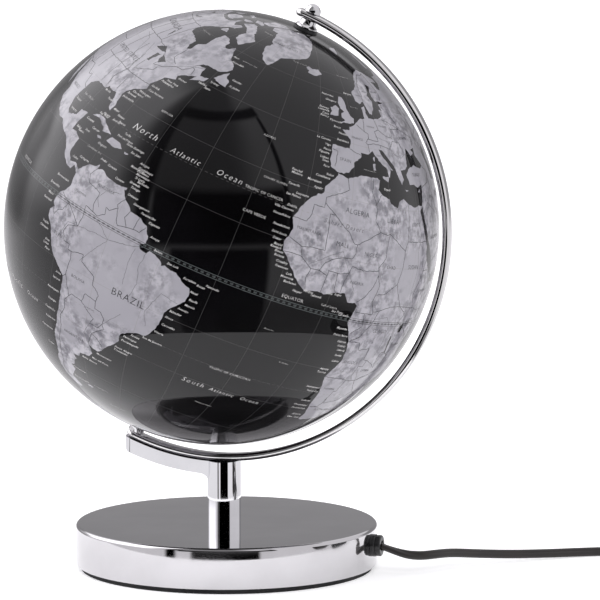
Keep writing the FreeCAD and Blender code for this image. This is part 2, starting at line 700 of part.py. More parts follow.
def switch_cover():
    case = switch_block(SWITCH_SPLIT, SWITCH_HIGH, 0)
    rim = [e for e in case.Edges if abs(e.CenterOfMass.z - SWITCH_HIGH) < 0.01]
    hollow = switch_block(SWITCH_SPLIT - 1, SWITCH_HIGH - SWITCH_WALL, SWITCH_WALL)
    case = case.makeFillet(3.0, rim).cut(hollow)
    high = SWITCH_HIGH - SWITCH_SPLIT - 1
    posts = [cylinder(3.0, high, V(SWITCH_X, y, SWITCH_SPLIT)) for y in switch_post_ys()]
    case = case.fuse(posts).removeSplitter().cut(switch_cord_holes())
    for y in switch_post_ys():
        case = case.cut(cylinder(1.3 + FIT, 5, V(SWITCH_X, y, SWITCH_SPLIT - 1)))
    clear = 0.4
    window = box(SWITCH_X - ROCKER_WIDE / 2 - clear, SWITCH_X + ROCKER_WIDE / 2 + clear,
                 SWITCH_Y - ROCKER_LEN / 2 - clear, SWITCH_Y + ROCKER_LEN / 2 + clear,
                 SWITCH_SPLIT - 1, SWITCH_HIGH + 1)
    case = case.cut(window)
    ears = []
    for side in (-1, 1):
        x0 = SWITCH_X + side * (ROCKER_WIDE / 2 + clear)
        x1 = x0 + side * 2.0
        ear = box(min(x0, x1), max(x0, x1), SWITCH_Y - 3, SWITCH_Y + 3, ROCKER_Z - 2.6, SWITCH_HIGH - 1)
        ears.append(ear)
    case = case.fuse(ears).removeSplitter()
    axle_end = V(SWITCH_X - ROCKER_WIDE / 2 - 2, SWITCH_Y, ROCKER_Z)
    return case.cut(cylinder(ROCKER_AXLE_R + FIT, ROCKER_WIDE + 4, axle_end, X_AXIS))


def switch_screws():
    solids = []
    for y in switch_post_ys():
        head = cylinder(2.3, 1.4, V(SWITCH_X, y, 0.3))
        shank = cylinder(1.3, 9.0, V(SWITCH_X, y, 1.0))
        solids.append(head.fuse(shank).removeSplitter())
    return group(solids)


def switch_terminals():
    """Brass terminals and the contact that the rocker presses."""
    low = SWITCH_WALL
    return group([box(SWITCH_X - 9.0, SWITCH_X - 3.4, y - 4, y + 4, low, low + 4.0)
                  for y in (SWITCH_Y - 9.5, SWITCH_Y + 9.5)])


def switch_rocker():
    """Rocker with two raised ends, on its own axle stubs; it rests switched off."""
    half = ROCKER_LEN / 2 - 0.5
    crown = SWITCH_HIGH - ROCKER_Z
    outline = [V(0, -half, -1.5), V(0, -half, crown + 1.8), V(0, 0, crown - 0.2), V(0, half, crown + 1.8),
               V(0, half, -1.5), V(0, 0, -3.2), V(0, -half, -1.5)]
    body = Part.Face(Part.makePolygon(outline)).extrude(X_AXIS * ROCKER_WIDE)
    body.translate(X_AXIS * (-ROCKER_WIDE / 2))
    axle = cylinder(ROCKER_AXLE_R, ROCKER_WIDE + 3.2, X_AXIS * (-ROCKER_WIDE / 2 - 1.6), X_AXIS)
    rocker = body.fuse(axle).removeSplitter()
    rocker.rotate(V(0, 0, 0), X_AXIS, ROCKER_REST)
    rocker.translate(V(SWITCH_X, SWITCH_Y, ROCKER_Z))
    return rocker


def pin_root(side):
    """Where a plug pin begins, inside the moulding."""
    return V(PLUG_X + side * PIN_SPACING / 2, PLUG_Y + PLUG_LEN - PIN_DEPTH, PLUG_HIGH / 2)


def plug_body():
    """Flat two-pin plug, with the lead moulded into its tapered back."""
    half = PLUG_WIDE / 2
    neck = 5.0
    outline = [(-neck, 0), (-neck, 9), (-half, 19), (-half, 26), (-half + 3.5, PLUG_LEN),
               (half - 3.5, PLUG_LEN), (half, 26), (half, 19), (neck, 9), (neck, 0)]
    wire = Part.makePolygon([V(PLUG_X + x, PLUG_Y + y, 0) for x, y in outline + outline[:1]])
    body = Part.Face(wire).extrude(V(0, 0, PLUG_HIGH))
    body = body.makeFillet(1.5, [e for e in body.Edges if abs(e.tangentAt(e.FirstParameter).z) < 0.1])
    for side in (-1, 1):
        body = body.cut(cylinder(PIN_R, PIN_DEPTH + 1, pin_root(side), Y_AXIS))
    return body


def plug_pins():
    solids = []
    for side in (-1, 1):
        root = pin_root(side)
        pin = cylinder(PIN_R, PIN_LEN + PIN_DEPTH, root, Y_AXIS)
        end_y = root.y + PIN_LEN + PIN_DEPTH
        tip = [e for e in pin.Edges if abs(e.CenterOfMass.y - end_y) < 0.01 and e.Length > 10]
        solids.append(pin.makeFillet(1.2, tip))
    return group(solids)


# ---- Write one STEP file for each piece ----

PIECES = {
    "base_pad": base_pad, "base_plate": base_plate, "base_plate_screws": base_plate_screws,
    "plate_spacers": plate_spacers, "ballast": ballast, "base_cover": base_cover,
    "cable_bushing": cable_bushing, "inner_lead": inner_lead, "cord_clamp": cord_clamp,
    "clamp_screws": clamp_screws, "terminal_block": terminal_block, "terminal_screws": terminal_screws,
    "column_nipple": column_nipple, "nipple_washer": nipple_washer, "nipple_nut": nipple_nut,
    "column_arm": column_arm, "meridian_arc": meridian_arc, "arc_screws": arc_screws,
    "north_pin": north_pin, "north_collar": north_collar, "south_collar": south_collar,
    "south_tube": south_tube, "lamp_holder_cap": lamp_holder_cap, "lamp_holder_sleeve": lamp_holder_sleeve,
    "lamp_contact": lamp_contact, "bulb_cap": bulb_cap, "bulb_glass": bulb_glass, "lamp_wires": lamp_wires,
    "globe_shell_upper": lambda: globe_shell(1, NORTH_BARREL),
    "globe_shell_lower": lambda: globe_shell(-1, SOUTH_BARREL),
    "equator_ring": equator_ring,
    "north_bush": lambda: polar_bush(NORTH_BARREL, NORTH_PIN_R + FIT, 1),
    "south_bush": lambda: polar_bush(SOUTH_BARREL, TUBE_R + FIT, -1),
    "north_washer": lambda: thrust_washer(NORTH_PIN_R + 2 * FIT, 1),
    "south_washer": lambda: thrust_washer(TUBE_R + 2 * FIT, -1),
    "cord_lead": cord_lead, "cord_middle": cord_middle, "cord_coil": cord_coil, "cord_tail": cord_tail,
    "switch_base": switch_base, "switch_cover": switch_cover, "switch_screws": switch_screws,
    "switch_terminals": switch_terminals, "switch_rocker": switch_rocker,
    "plug_body": plug_body, "plug_pins": plug_pins,
}

os.makedirs("parts", exist_ok=True)
for node, make in PIECES.items():
    shape = make()
    if not shape.isValid():
        raise ValueError(f"{node} isn't valid")
    shape.exportStep(f"parts/{node}.step")
    bounds = shape.BoundBox
    print(f"{node}: {len(shape.Solids)} solids, {shape.Volume:.0f} mm3,"
          f" x {bounds.XMin:.1f}..{bounds.XMax:.1f}, y {bounds.YMin:.1f}..{bounds.YMax:.1f},"
          f" z {bounds.ZMin:.1f}..{bounds.ZMax:.1f}")
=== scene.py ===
from math import asin, atan2, ceil, cos, degrees, hypot, pi, radians, sin, sqrt

import bpy
from mathutils import Matrix, Vector, noise
from mathutils.geometry import delaunay_2d_cdt


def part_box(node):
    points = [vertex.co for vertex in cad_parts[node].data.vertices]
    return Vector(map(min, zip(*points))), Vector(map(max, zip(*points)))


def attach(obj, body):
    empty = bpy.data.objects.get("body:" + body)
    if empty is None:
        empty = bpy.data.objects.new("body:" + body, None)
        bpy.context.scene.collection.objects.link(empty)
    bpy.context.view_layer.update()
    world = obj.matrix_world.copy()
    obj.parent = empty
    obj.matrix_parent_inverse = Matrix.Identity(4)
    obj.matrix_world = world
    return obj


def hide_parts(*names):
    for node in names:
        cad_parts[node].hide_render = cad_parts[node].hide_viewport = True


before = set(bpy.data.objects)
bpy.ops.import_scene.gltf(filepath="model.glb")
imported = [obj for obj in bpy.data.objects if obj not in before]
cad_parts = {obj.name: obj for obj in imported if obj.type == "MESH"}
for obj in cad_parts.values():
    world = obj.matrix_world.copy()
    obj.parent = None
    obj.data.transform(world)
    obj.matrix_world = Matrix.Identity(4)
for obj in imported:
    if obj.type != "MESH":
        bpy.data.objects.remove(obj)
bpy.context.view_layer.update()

MM = 0.001


# ---- Studio ----
# A camera at the height of a low shelf, a pale floor, and a soft white tent with one dark opening
# that the camera looks in through. Everything polished mirrors the tent.
CAMERA_PLACE = (0.66904, -2.25347, 0.44966)
CAMERA_TILT = radians(82.865)
CAMERA_TURN = radians(15.5)
LENS_LENGTH = 246.9
SENSOR_WIDTH = 36
bpy.ops.object.camera_add(location=CAMERA_PLACE, rotation=(CAMERA_TILT, 0, CAMERA_TURN))
camera = bpy.context.object
camera.name = "camera"
camera.data.lens = LENS_LENGTH
camera.data.sensor_width = SENSOR_WIDTH
camera.data.clip_end = 100
bpy.context.scene.camera = camera
bpy.context.scene.view_settings.view_transform = "Standard"


def pick(piece):
    """Selects one piece alone and makes it active."""
    bpy.ops.object.select_all(action="DESELECT")
    piece.select_set(True)
    bpy.context.view_layer.objects.active = piece


def edit(piece):
    """Opens one piece in edit mode with all of it selected."""
    pick(piece)
    bpy.ops.object.mode_set(mode="EDIT")
    bpy.ops.mesh.select_all(action="SELECT")


def close():
    """Leaves edit mode."""
    bpy.ops.object.mode_set(mode="OBJECT")


def new_material(name, **settings):
    """A node material and its Principled shader, with its even settings on the shader's own sockets."""
    material = bpy.data.materials.new(name)
    material.use_nodes = True
    shader = material.node_tree.nodes["Principled BSDF"]
    for socket, value in settings.items():
        shader.inputs[socket.replace("_", " ")].default_value = value
    return material, shader


def node(tree, kind, **values):
    """A shader node with its own settings, and values for its numbered or named inputs."""
    made = tree.nodes.new(kind)
    for key, value in values.items():
        if key.startswith("in_"):
            socket = made.inputs[int(key[3:])]
            socket.default_value = value
        else:
            setattr(made, key, value)
    return made


def maths(tree, operation, a, b=None, c=None):
    """One step of arithmetic between sockets or numbers."""
    made = tree.nodes.new("ShaderNodeMath")
    made.operation = operation
    for socket, value in zip(made.inputs, (a, b, c)):
        if value is None:
            continue
        if isinstance(value, (int, float)):
            socket.default_value = value
        else:
            tree.links.new(value, socket)
    return made.outputs[0]


def ramp(tree, value, low, high, to_low=0.0, to_high=1.0):
    """A smooth step from one value to another."""
    made = tree.nodes.new("ShaderNodeMapRange")
    made.interpolation_type = "SMOOTHSTEP"
    tree.links.new(value, made.inputs[0])
    for socket, number in zip(made.inputs[1:5], (low, high, to_low, to_high)):
        socket.default_value = number
    return made.outputs[0]


def roughen(shader, pattern, low, high, smoother, rougher):
    """Drifts the roughness as a pattern rises between two values."""
    tree = shader.id_data
    tree.links.new(ramp(tree, pattern, low, high, smoother, rougher), shader.inputs["Roughness"])


FLOOR_WHITE = (0.93, 0.93, 0.94, 1)
FLOOR_GLOW = 0.36
TABLE_R = 0.243
FLOOR_REACH = 100
floor_finish, shader = new_material("floor_paper", Base_Color=FLOOR_WHITE, Emission_Color=(1, 1, 1, 1),
                                    Emission_Strength=FLOOR_GLOW, Specular_IOR_Level=0.1)
grain = node(floor_finish.node_tree, "ShaderNodeTexNoise", in_2=3.0)
roughen(shader, grain.outputs[0], 0.3, 0.7, 0.9, 0.95)
bpy.ops.mesh.primitive_circle_add(vertices=96, radius=TABLE_R, fill_type="NGON")
table = bpy.context.object
table.name = "floor_near"
bpy.ops.mesh.primitive_circle_add(vertices=96, radius=TABLE_R)
floor = bpy.context.object
floor.name = "floor_far"
edit(floor)
bpy.ops.mesh.extrude_region_move()
bpy.ops.transform.resize(value=(FLOOR_REACH, FLOOR_REACH, 1), center_override=(0, 0, 0))
close()
floor.visible_glossy = False
for stage_piece in (table, floor):
    stage_piece.data.materials.append(floor_finish)

# the tent: directions are turned so that the camera stands at azimuth 0
world = bpy.data.worlds.new("tent")
world.use_nodes = True
bpy.context.scene.world = world
tree = world.node_tree
tree.nodes.clear()
coordinates = tree.nodes.new("ShaderNodeTexCoord")
turned_to_camera = node(tree, "ShaderNodeMapping")
turned_to_camera.inputs["Rotation"].default_value = (0, 0, -CAMERA_TURN)
tree.links.new(coordinates.outputs["Generated"], turned_to_camera.inputs[0])
split = tree.nodes.new("ShaderNodeSeparateXYZ")
tree.links.new(turned_to_camera.outputs[0], split.inputs[0])
across, ahead, height = split.outputs
azimuth = maths(tree, "ARCTAN2", across, maths(tree, "MULTIPLY", ahead, -1.0))
azimuth = maths(tree, "MULTIPLY", azimuth, 180 / pi)
elevation = maths(tree, "MULTIPLY", maths(tree, "ARCSINE", height), 180 / pi)
side = maths(tree, "ABSOLUTE", azimuth)


def inside(tree, value, low, high, soft=1.0):
    """1 between two limits, 0 outside them, with soft edges."""
    return maths(tree, "MULTIPLY", ramp(tree, value, low - soft, low + soft),
                 ramp(tree, value, high - soft, high + soft, 1.0, 0.0))


def either(tree, *values):
    """The largest of several values."""
    total = values[0]
    for value in values[1:]:
        total = maths(tree, "MAXIMUM", total, value)
    return total


def patch(angle, left, right, soft, bottom, top, fade):
    """1 on the part of the tent between two directions and two heights, in degrees."""
    return maths(tree, "MULTIPLY", inside(tree, angle, left, right, soft),
                 inside(tree, elevation, bottom, top, fade))


def dimmed(level, where, share):
    """The tent's light, cut to a share of itself on one part."""
    return maths(tree, "MULTIPLY", level, ramp(tree, where, 0, 1, 1.0, share))


TENT_LIGHT = 0.95
BOX_LIGHT = 1.5
TENT_TINT = (0.985, 0.97, 1.0, 1)
dark_front = patch(side, -10, 37, 2, -4, 25, 3)
dark_low = patch(side, -10, 26, 2, -60, -4, 3)
gap_above = patch(side, -10, 40, 2, 63, 69, 1.5)
gap_right = patch(azimuth, 36, 39, 1, 0, 64, 3)
gap_left = patch(azimuth, -46, -38, 2, -60, 69, 3)
far_band = patch(side, 128, 400, 10, -4, 21, 4)
left_box = patch(azimuth, -150, -60, 8, 8, 75, 8)
dim_above = patch(azimuth, -56, 18, 16, 22, 100, 5)
dim_below = inside(tree, elevation, -100, -30, 8)
dark = either(tree, dark_front, dark_low, gap_above, gap_right, gap_left)
light_level = maths(tree, "ADD", maths(tree, "MULTIPLY", left_box, BOX_LIGHT), TENT_LIGHT)
light_level = dimmed(light_level, dim_above, 0.38)
light_level = dimmed(light_level, dim_below, 0.35)
light_level = maths(tree, "MULTIPLY", light_level, maths(tree, "SUBTRACT", 1.0, dark))
light_level = dimmed(light_level, far_band, 0.35)
background = node(tree, "ShaderNodeBackground", in_0=TENT_TINT)
tree.links.new(light_level, background.inputs[1])
output = tree.nodes.new("ShaderNodeOutputWorld")
tree.links.new(background.outputs[0], output.inputs[0])

LIGHT_AIM = Vector((0, 0, 0.15))
lights = (("light_top", (0.4, -0.3, 2.4), 1.6, 7), ("light_front", (1.4, -2.0, 1.7), 1.0, 24))
for lamp_name, place, size, power in lights:
    bpy.ops.object.light_add(type="AREA", location=place)
    light = bpy.context.object
    light.name = lamp_name
    light.data.size = size
    light.data.energy = power
    light.rotation_euler = (Vector(place) - LIGHT_AIM).to_track_quat("Z", "Y").to_euler()
    light.visible_glossy = False
    light.visible_camera = False


# ---- Mains lead ----
# Flat two-core lead in black-brown PVC, 1.8 m long. It leaves the bushing flat and turns onto its edge
# within three centimetres, and its unseen length is wound into a coil with the plug beside it.
CORD_WIDE = 5.2 * MM
CORD_THIN = 3.3 * MM
lead_route = [
    (93.0, 0.0, 16.0), (103.8, 1.0, 12.2), (113.6, 4.9, 10.6), (122.0, 12.6, 10.8),
    (128.3, 23.5, 10.0), (140.2, 40.0, 7.0), (155.8, 55.5, 4.6), (173.6, 70.0, 3.3),
    (192.0, 83.3, 2.7), (207.0, 91.0, 2.6), (222.0, 90.3, 2.6), (234.7, 82.3, 3.6),
    (242.0, 69.2, 5.4), (242.0, 55.0, 7.0),
]
middle_route = [(242.0, -7.0, 7.0), (242.0, -19.0, 5.2), (242.6, -31.0, 3.0)]
tail_route = [(309.0, -29.0, 16.0), (307.0, -15.0, 11.6), (303.6, -3.0, 8.0), (302.0, 8.0, 7.0)]
COIL_CENTRE = (276.0, -44.0)
COIL_TURNS = ((33.0, 0), (27.8, 0), (27.8, 1), (33.0, 1), (33.0, 2), (27.8, 2), (27.8, 3), (33.0, 3))
POINTS_PER_TURN = 16
HALF_TURNS = 15
FIRST_LAYER_Z = 2.6
LAYER_STEP = 5.2
PASS_OVER_FROM, PASS_OVER_SPAN = 0.72, 0.28
coil = []
for step in range(1, HALF_TURNS * POINTS_PER_TURN // 2 + 1):
    turn, part = divmod(step, POINTS_PER_TURN)
    part /= POINTS_PER_TURN
    here, there = COIL_TURNS[turn], COIL_TURNS[min(turn + 1, len(COIL_TURNS) - 1)]
    pass_over = max(0.0, (part - PASS_OVER_FROM) / PASS_OVER_SPAN)
    pass_over = pass_over * pass_over * (3 - 2 * pass_over)
    reach = here[0] + (there[0] - here[0]) * pass_over
    level = here[1] + (there[1] - here[1]) * pass_over
    angle = pi + 2 * pi * step / POINTS_PER_TURN
    coil.append((COIL_CENTRE[0] + reach * cos(angle), COIL_CENTRE[1] + reach * sin(angle),
                 FIRST_LAYER_Z + LAYER_STEP * level))

bpy.ops.object.select_all(action="DESELECT")
route_data = bpy.data.curves.new("lead_line", "CURVE")
route_data.dimensions = "3D"
route_data.resolution_u = 5
spline = route_data.splines.new("NURBS")
route_points = lead_route + middle_route + coil + tail_route
spline.points.add(len(route_points) - 1)
for point, place in zip(spline.points, route_points):
    point.co = (*(c * MM for c in place), 1)
spline.order_u = 3
spline.use_endpoint_u = True
lead_line = bpy.data.objects.new("lead_line", route_data)
bpy.context.collection.objects.link(lead_line)
bpy.context.view_layer.update()
line_mesh = bpy.data.meshes.new_from_object(lead_line)
path = [v.co.copy() for v in line_mesh.vertices]
bpy.data.objects.remove(lead_line)
bpy.data.meshes.remove(line_mesh)

LOBE_STEPS = 9
TWIST_LENGTH = 30 * MM
core_r = CORD_THIN / 2
core_out = (CORD_WIDE - CORD_THIN) / 2
waist = asin(core_out / core_r)
section = []
for lobe in (1, -1):
    for step in range(LOBE_STEPS):
        angle = -waist + (pi + 2 * waist) * step / LOBE_STEPS
        section.append((core_r * cos(angle) * lobe, (core_out + core_r * sin(angle)) * lobe))
verts = []
run = 0.0
for k, place in enumerate(path):
    ahead_point = path[min(k + 1, len(path) - 1)]
    behind_point = path[max(k - 1, 0)]
    run += (place - behind_point).length
    along = (ahead_point - behind_point).normalized()
    sideways = along.cross(Vector((0, 0, 1))).normalized()
    upright = sideways.cross(along)
    flatness = max(0.0, 1 - run / TWIST_LENGTH)
    twist = pi / 2 * flatness * flatness * (3 - 2 * flatness)
    for x, y in section:
        verts.append(place + sideways * (x * cos(twist) - y * sin(twist))
                     + upright * (x * sin(twist) + y * cos(twist)))


def tube_faces(ring, count):
    """The faces of a tube of like rings of points, with a flat face at each end."""
    faces = []
    for k in range(count - 1):
        for j in range(ring):
            a, b = k * ring + j, k * ring + (j + 1) % ring
            faces.append((a, b, b + ring, a + ring))
    faces.append(tuple(range(ring - 1, -1, -1)))
    faces.append(tuple(range((count - 1) * ring, count * ring)))
    return faces


def object_from(name, verts, faces):
    """A mesh object from its points and faces, selected alone and active, with its normals outward."""
    mesh = bpy.data.meshes.new(name)
    mesh.from_pydata([tuple(v) for v in verts], [], faces)
    made = bpy.data.objects.new(name, mesh)
    bpy.context.collection.objects.link(made)
    edit(made)
    bpy.ops.mesh.normals_make_consistent(inside=False)
    close()
    return made


def smooth(piece, angle=35):
    """Rounded faces shade as one, and edges sharper than the angle stay crisp."""
    pick(piece)
    bpy.ops.object.shade_smooth_by_angle(angle=radians(angle))


def mix_colours(tree, factor, first, second):
    """A blend of two colours, each a socket or a plain colour."""
    made = tree.nodes.new("ShaderNodeMix")
    made.data_type = "RGBA"
    for socket, value in ((made.inputs[0], factor), (made.inputs[6], first), (made.inputs[7], second)):
        if isinstance(value, (int, float, tuple)):
            socket.default_value = value
        else:
            tree.links.new(value, socket)
    return made.outputs[2]


def solid_pattern(shader, kind="Noise", **values):
    """A pattern that runs through the piece and stays with it."""
    tree = shader.id_data
    place = tree.nodes.new("ShaderNodeTexCoord")
    made = node(tree, "ShaderNodeTex" + kind, **values)
    tree.links.new(place.outputs["Object"], made.inputs["Vector"])
    return made.outputs[0]


def shade(shader, pattern, low, high, first, second):
    """Drifts the base colour from one shade to another as a pattern rises between two values."""
    tree = shader.id_data
    blend = mix_colours(tree, ramp(tree, pattern, low, high), first, second)
    tree.links.new(blend, shader.inputs["Base Color"])


def emboss(shader, pattern, strength, depth):
    """Lets a pattern stand out as a fine relief."""
    tree = shader.id_data
    relief = node(tree, "ShaderNodeBump", in_0=strength, in_1=depth)
    tree.links.new(pattern, relief.inputs["Height"])
    tree.links.new(relief.outputs[0], shader.inputs["Normal"])


def moulded(name, colour, rough, bump=0.15, scale=900.0):
    """Moulded plastic or rubber: fine spark texture, with a slow variation in sheen and shade."""
    material, shader = new_material(name)
    slow = solid_pattern(shader, in_2=45.0, in_3=2.0)
    darker = tuple(c * 0.75 for c in colour) + (1,)
    lighter = tuple(min(1, c * 1.25) for c in colour) + (1,)
    shade(shader, slow, 0.3, 0.7, darker, lighter)
    roughen(shader, slow, 0.3, 0.7, rough * 0.85, rough * 1.15)
    emboss(shader, solid_pattern(shader, in_2=scale, in_3=3.0), bump, 0.0001)
    return material


def dress(piece, body, slot, material, *stands_for):
    """Gives a new piece its finish and its body, and hides the nodes that it stands for. The slot is not
    used.
    """
    piece.data.materials.clear()
    piece.data.materials.append(material)
    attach(piece, body)
    if stands_for:
        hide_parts(*stands_for)


def redress(names, material):
    """Gives CAD nodes whose shape is right their finish."""
    for name in names:
        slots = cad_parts[name].material_slots
        for slot in slots:
            slot.material = material
        if not slots:
            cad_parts[name].data.materials.append(material)


lead = object_from("mains_lead", verts, tube_faces(len(section), len(path)))
smooth(lead, 60)
pvc = moulded("lead_pvc", (0.016, 0.013, 0.012), 0.42, 0.2, 700.0)
dress(lead, "stand", "cord_pvc", pvc, "cord_lead", "cord_middle", "cord_coil", "cord_tail")


# ---- Base pad, plate and what the cover hides ----
# A disc of dense black foam rubber is stuck under a zinc-plated steel plate. The plate's screws, the
# iron weight, the clamp and the terminals sit out of sight inside, each in its own real finish.
foam = moulded("pad_foam", (0.012, 0.012, 0.013), 0.85, 0.5, 1500.0)
redress(["base_pad"], foam)
zinc, shader = new_material("zinc_plate", Metallic=1)
spangle = solid_pattern(shader, "Voronoi", in_2=220.0)
shade(shader, spangle, 0.1, 0.8, (0.55, 0.56, 0.58, 1), (0.68, 0.68, 0.70, 1))
roughen(shader, spangle, 0.0, 0.9, 0.28, 0.4)
redress(["base_plate", "base_plate_screws", "plate_spacers", "clamp_screws", "column_nipple", "nipple_washer",
         "nipple_nut", "arc_screws", "south_tube", "switch_screws"], zinc)
redress(["ballast"], moulded("cast_iron", (0.05, 0.05, 0.055), 0.7, 0.8, 300.0))
redress(["cord_clamp", "terminal_block"], moulded("pale_nylon", (0.62, 0.61, 0.56), 0.5, 0.2))
redress(["inner_lead"], pvc)
brass, shader = new_material("turned_brass", Metallic=1, Base_Color=(0.72, 0.52, 0.25, 1))
roughen(shader, solid_pattern(shader, in_2=1200.0), 0.3, 0.7, 0.22, 0.36)
redress(["terminal_screws", "switch_terminals"], brass)


# ---- Base cover ----
# A deep-drawn steel cup, polished and chromed, with a small rolled edge around its flat top. It has a
# hole in its side for the lead's bushing and one in its top for the column's threaded tube.
cover_low, cover_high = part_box("base_cover")
BASE_R = (cover_high.y - cover_low.y) / 2
BASE_TOP = cover_high.z
COVER_BOTTOM = cover_low.z
COVER_WALL = 1.2 * MM
COVER_EDGE = 2.0 * MM
COLUMN_X = -1.4 * MM
BUSHING_Z = 16.5 * MM


def bend(centre_r, centre_z, radius, start, stop, steps):
    """Points along an arc of a turned piece's outline."""
    return [(centre_r + radius * cos(radians(start + (stop - start) * k / steps)),
             centre_z + radius * sin(radians(start + (stop - start) * k / steps))) for k in range(steps + 1)]


def turned(name, outline, steps=160):
    """A piece turned about the upright axis from a closed outline of (radius, height) points."""
    made = object_from(name, [(r, 0, z) for r, z in outline], [tuple(range(len(outline)))])
    edit(made)
    bpy.ops.mesh.delete(type="ONLY_FACE")
    bpy.ops.mesh.select_all(action="SELECT")
    bpy.ops.mesh.spin(steps=steps, angle=2 * pi, center=(0, 0, 0), axis=(0, 0, 1))
    bpy.ops.mesh.select_all(action="SELECT")
    bpy.ops.mesh.remove_doubles(threshold=0.000002)
    bpy.ops.mesh.normals_make_consistent(inside=False)
    close()
    return made


def put(piece, matrix):
    """Places a piece drawn about its own origin, and writes the place into its mesh."""
    piece.matrix_world = matrix
    pick(piece)
    bpy.ops.object.transform_apply(location=True, rotation=True, scale=True)


def boolean(piece, tool, operation="DIFFERENCE"):
    """Cuts a tool away from a piece or joins it on, and deletes the tool."""
    pick(piece)
    modifier = piece.modifiers.new("cut", "BOOLEAN")
    modifier.operation = operation
    modifier.object = tool
    modifier.solver = "EXACT"
    bpy.ops.object.modifier_apply(modifier=modifier.name)
    bpy.data.objects.remove(tool)


def rod(radius, length, centre, axis="Z", vertices=64):
    """A round bar, used as a drill or joined to a casting."""
    turn = {"X": (0, pi / 2, 0), "Y": (pi / 2, 0, 0), "Z": (0, 0, 0)}[axis]
    bpy.ops.mesh.primitive_cylinder_add(vertices=vertices, radius=radius, depth=length, location=centre,
                                        rotation=turn)
    made = bpy.context.object
    bpy.ops.object.transform_apply(location=True, rotation=True, scale=True)
    return made


inner_r = BASE_R - COVER_WALL
inner_top = BASE_TOP - COVER_WALL
inner_edge = COVER_EDGE - COVER_WALL
BORE_R = 5.3 * MM
SIDE_HOLE_R = 4.3 * MM
outline = [(BASE_R - 0.15 * MM, COVER_BOTTOM), (BASE_R, COVER_BOTTOM + 0.15 * MM)]
outline += bend(BASE_R - COVER_EDGE, BASE_TOP - COVER_EDGE, COVER_EDGE, 0, 90, 10)
outline += [(BASE_R * 0.6, BASE_TOP), (BORE_R, BASE_TOP), (BORE_R, inner_top)]
outline += bend(inner_r - inner_edge, inner_top - inner_edge, inner_edge, 90, 0, 4)
outline += [(inner_r, COVER_BOTTOM)]
cover = turned("cover", outline, 256)
boolean(cover, rod(SIDE_HOLE_R, 12 * MM, (BASE_R, 0, BUSHING_Z), "X"))


def chrome(name, tint, rough_low, rough_high, ripple):
    """Polished chrome plate: a bright mirror with faint polishing haze and a hardly visible ripple."""
    material, shader = new_material(name, Metallic=1)
    haze = solid_pattern(shader, in_2=38.0, in_3=4.0)
    shade(shader, haze, 0.3, 0.7, tuple(c * 0.93 for c in tint) + (1,), tint + (1,))
    roughen(shader, haze, 0.35, 0.75, rough_low, rough_high)
    emboss(shader, solid_pattern(shader, in_2=26.0, in_3=1.0), ripple, 0.0002)
    return material


cover_chrome = chrome("cover_chrome", (0.56, 0.55, 0.565), 0.03, 0.07, 0.02)
smooth(cover, 40)
dress(cover, "stand", "chrome", cover_chrome, "base_cover")


# ---- Lead bushing ----
# A black polyamide bushing in two steps, pressed into the cover's side. The lead comes out through
# the oval hole in its end.
BUSHING_R = 6.4 * MM
BUSHING_END = 93.0 * MM
BUSHING_BORE = 2.95 * MM
BUSHING_INNER = 6.0 * MM
BUSHING_NECK = 4.2 * MM
BUSHING_GROOVE = 5.75 * MM
BUSHING_NOSE = 6.1 * MM
outline = [(BUSHING_BORE, BASE_R - 6 * MM), (BUSHING_INNER, BASE_R - 6 * MM),
           (BUSHING_INNER, BASE_R - 2.4 * MM), (BUSHING_NECK, BASE_R - 2.4 * MM),
           (BUSHING_NECK, BASE_R - 0.3 * MM)]
outline += bend(BUSHING_R - 0.3 * MM, BASE_R + 0.1 * MM, 0.3 * MM, -90, 0, 3)
outline += bend(BUSHING_R - 0.5 * MM, BASE_R + 1.9 * MM, 0.5 * MM, 0, 90, 5)
outline += [(BUSHING_GROOVE, BASE_R + 2.4 * MM), (BUSHING_GROOVE, BASE_R + 2.7 * MM)]
outline += bend(BUSHING_NOSE - 0.25 * MM, BASE_R + 2.95 * MM, 0.25 * MM, -90, 0, 3)
outline += bend(BUSHING_NOSE - 0.9 * MM, BUSHING_END - 0.9 * MM, 0.9 * MM, 0, 90, 7)
outline += bend(BUSHING_BORE + 0.5 * MM, BUSHING_END - 0.5 * MM, 0.5 * MM, 90, 180, 4)
bushing = turned("bushing", outline, 72)
put(bushing, Matrix.Translation((0, 0, BUSHING_Z)) @ Matrix.Rotation(pi / 2, 4, "Y"))
smooth(bushing, 30)
bushing_nylon = moulded("bushing_nylon", (0.014, 0.014, 0.015), 0.33, 0.08, 500.0)
dress(bushing, "stand", "black_bushing", bushing_nylon, "cable_bushing")


# ---- Column and arm ----
# One polished casting, chromed: a round column with a short flat arm on its left. The arm's underside
# follows the globe, and its top is cut to the arc that is screwed down on it.
shell_low, shell_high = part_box("globe_shell_upper")
GLOBE_R = (shell_high.y - shell_low.y) / 2
CENTRE = Vector((-2.6 * MM, 0, 197.3 * MM))
COLUMN_R = 9.7 * MM
ARM_THICK = 12 * MM
ARM_R_OUT = 143 * MM
ARM_END_X = -60.2 * MM
ARM_CORNER = 4 * MM
ARM_EDGE = 3.5 * MM
ARM_FILLET = 5.5 * MM
ARC_R_OUT = 135.3 * MM
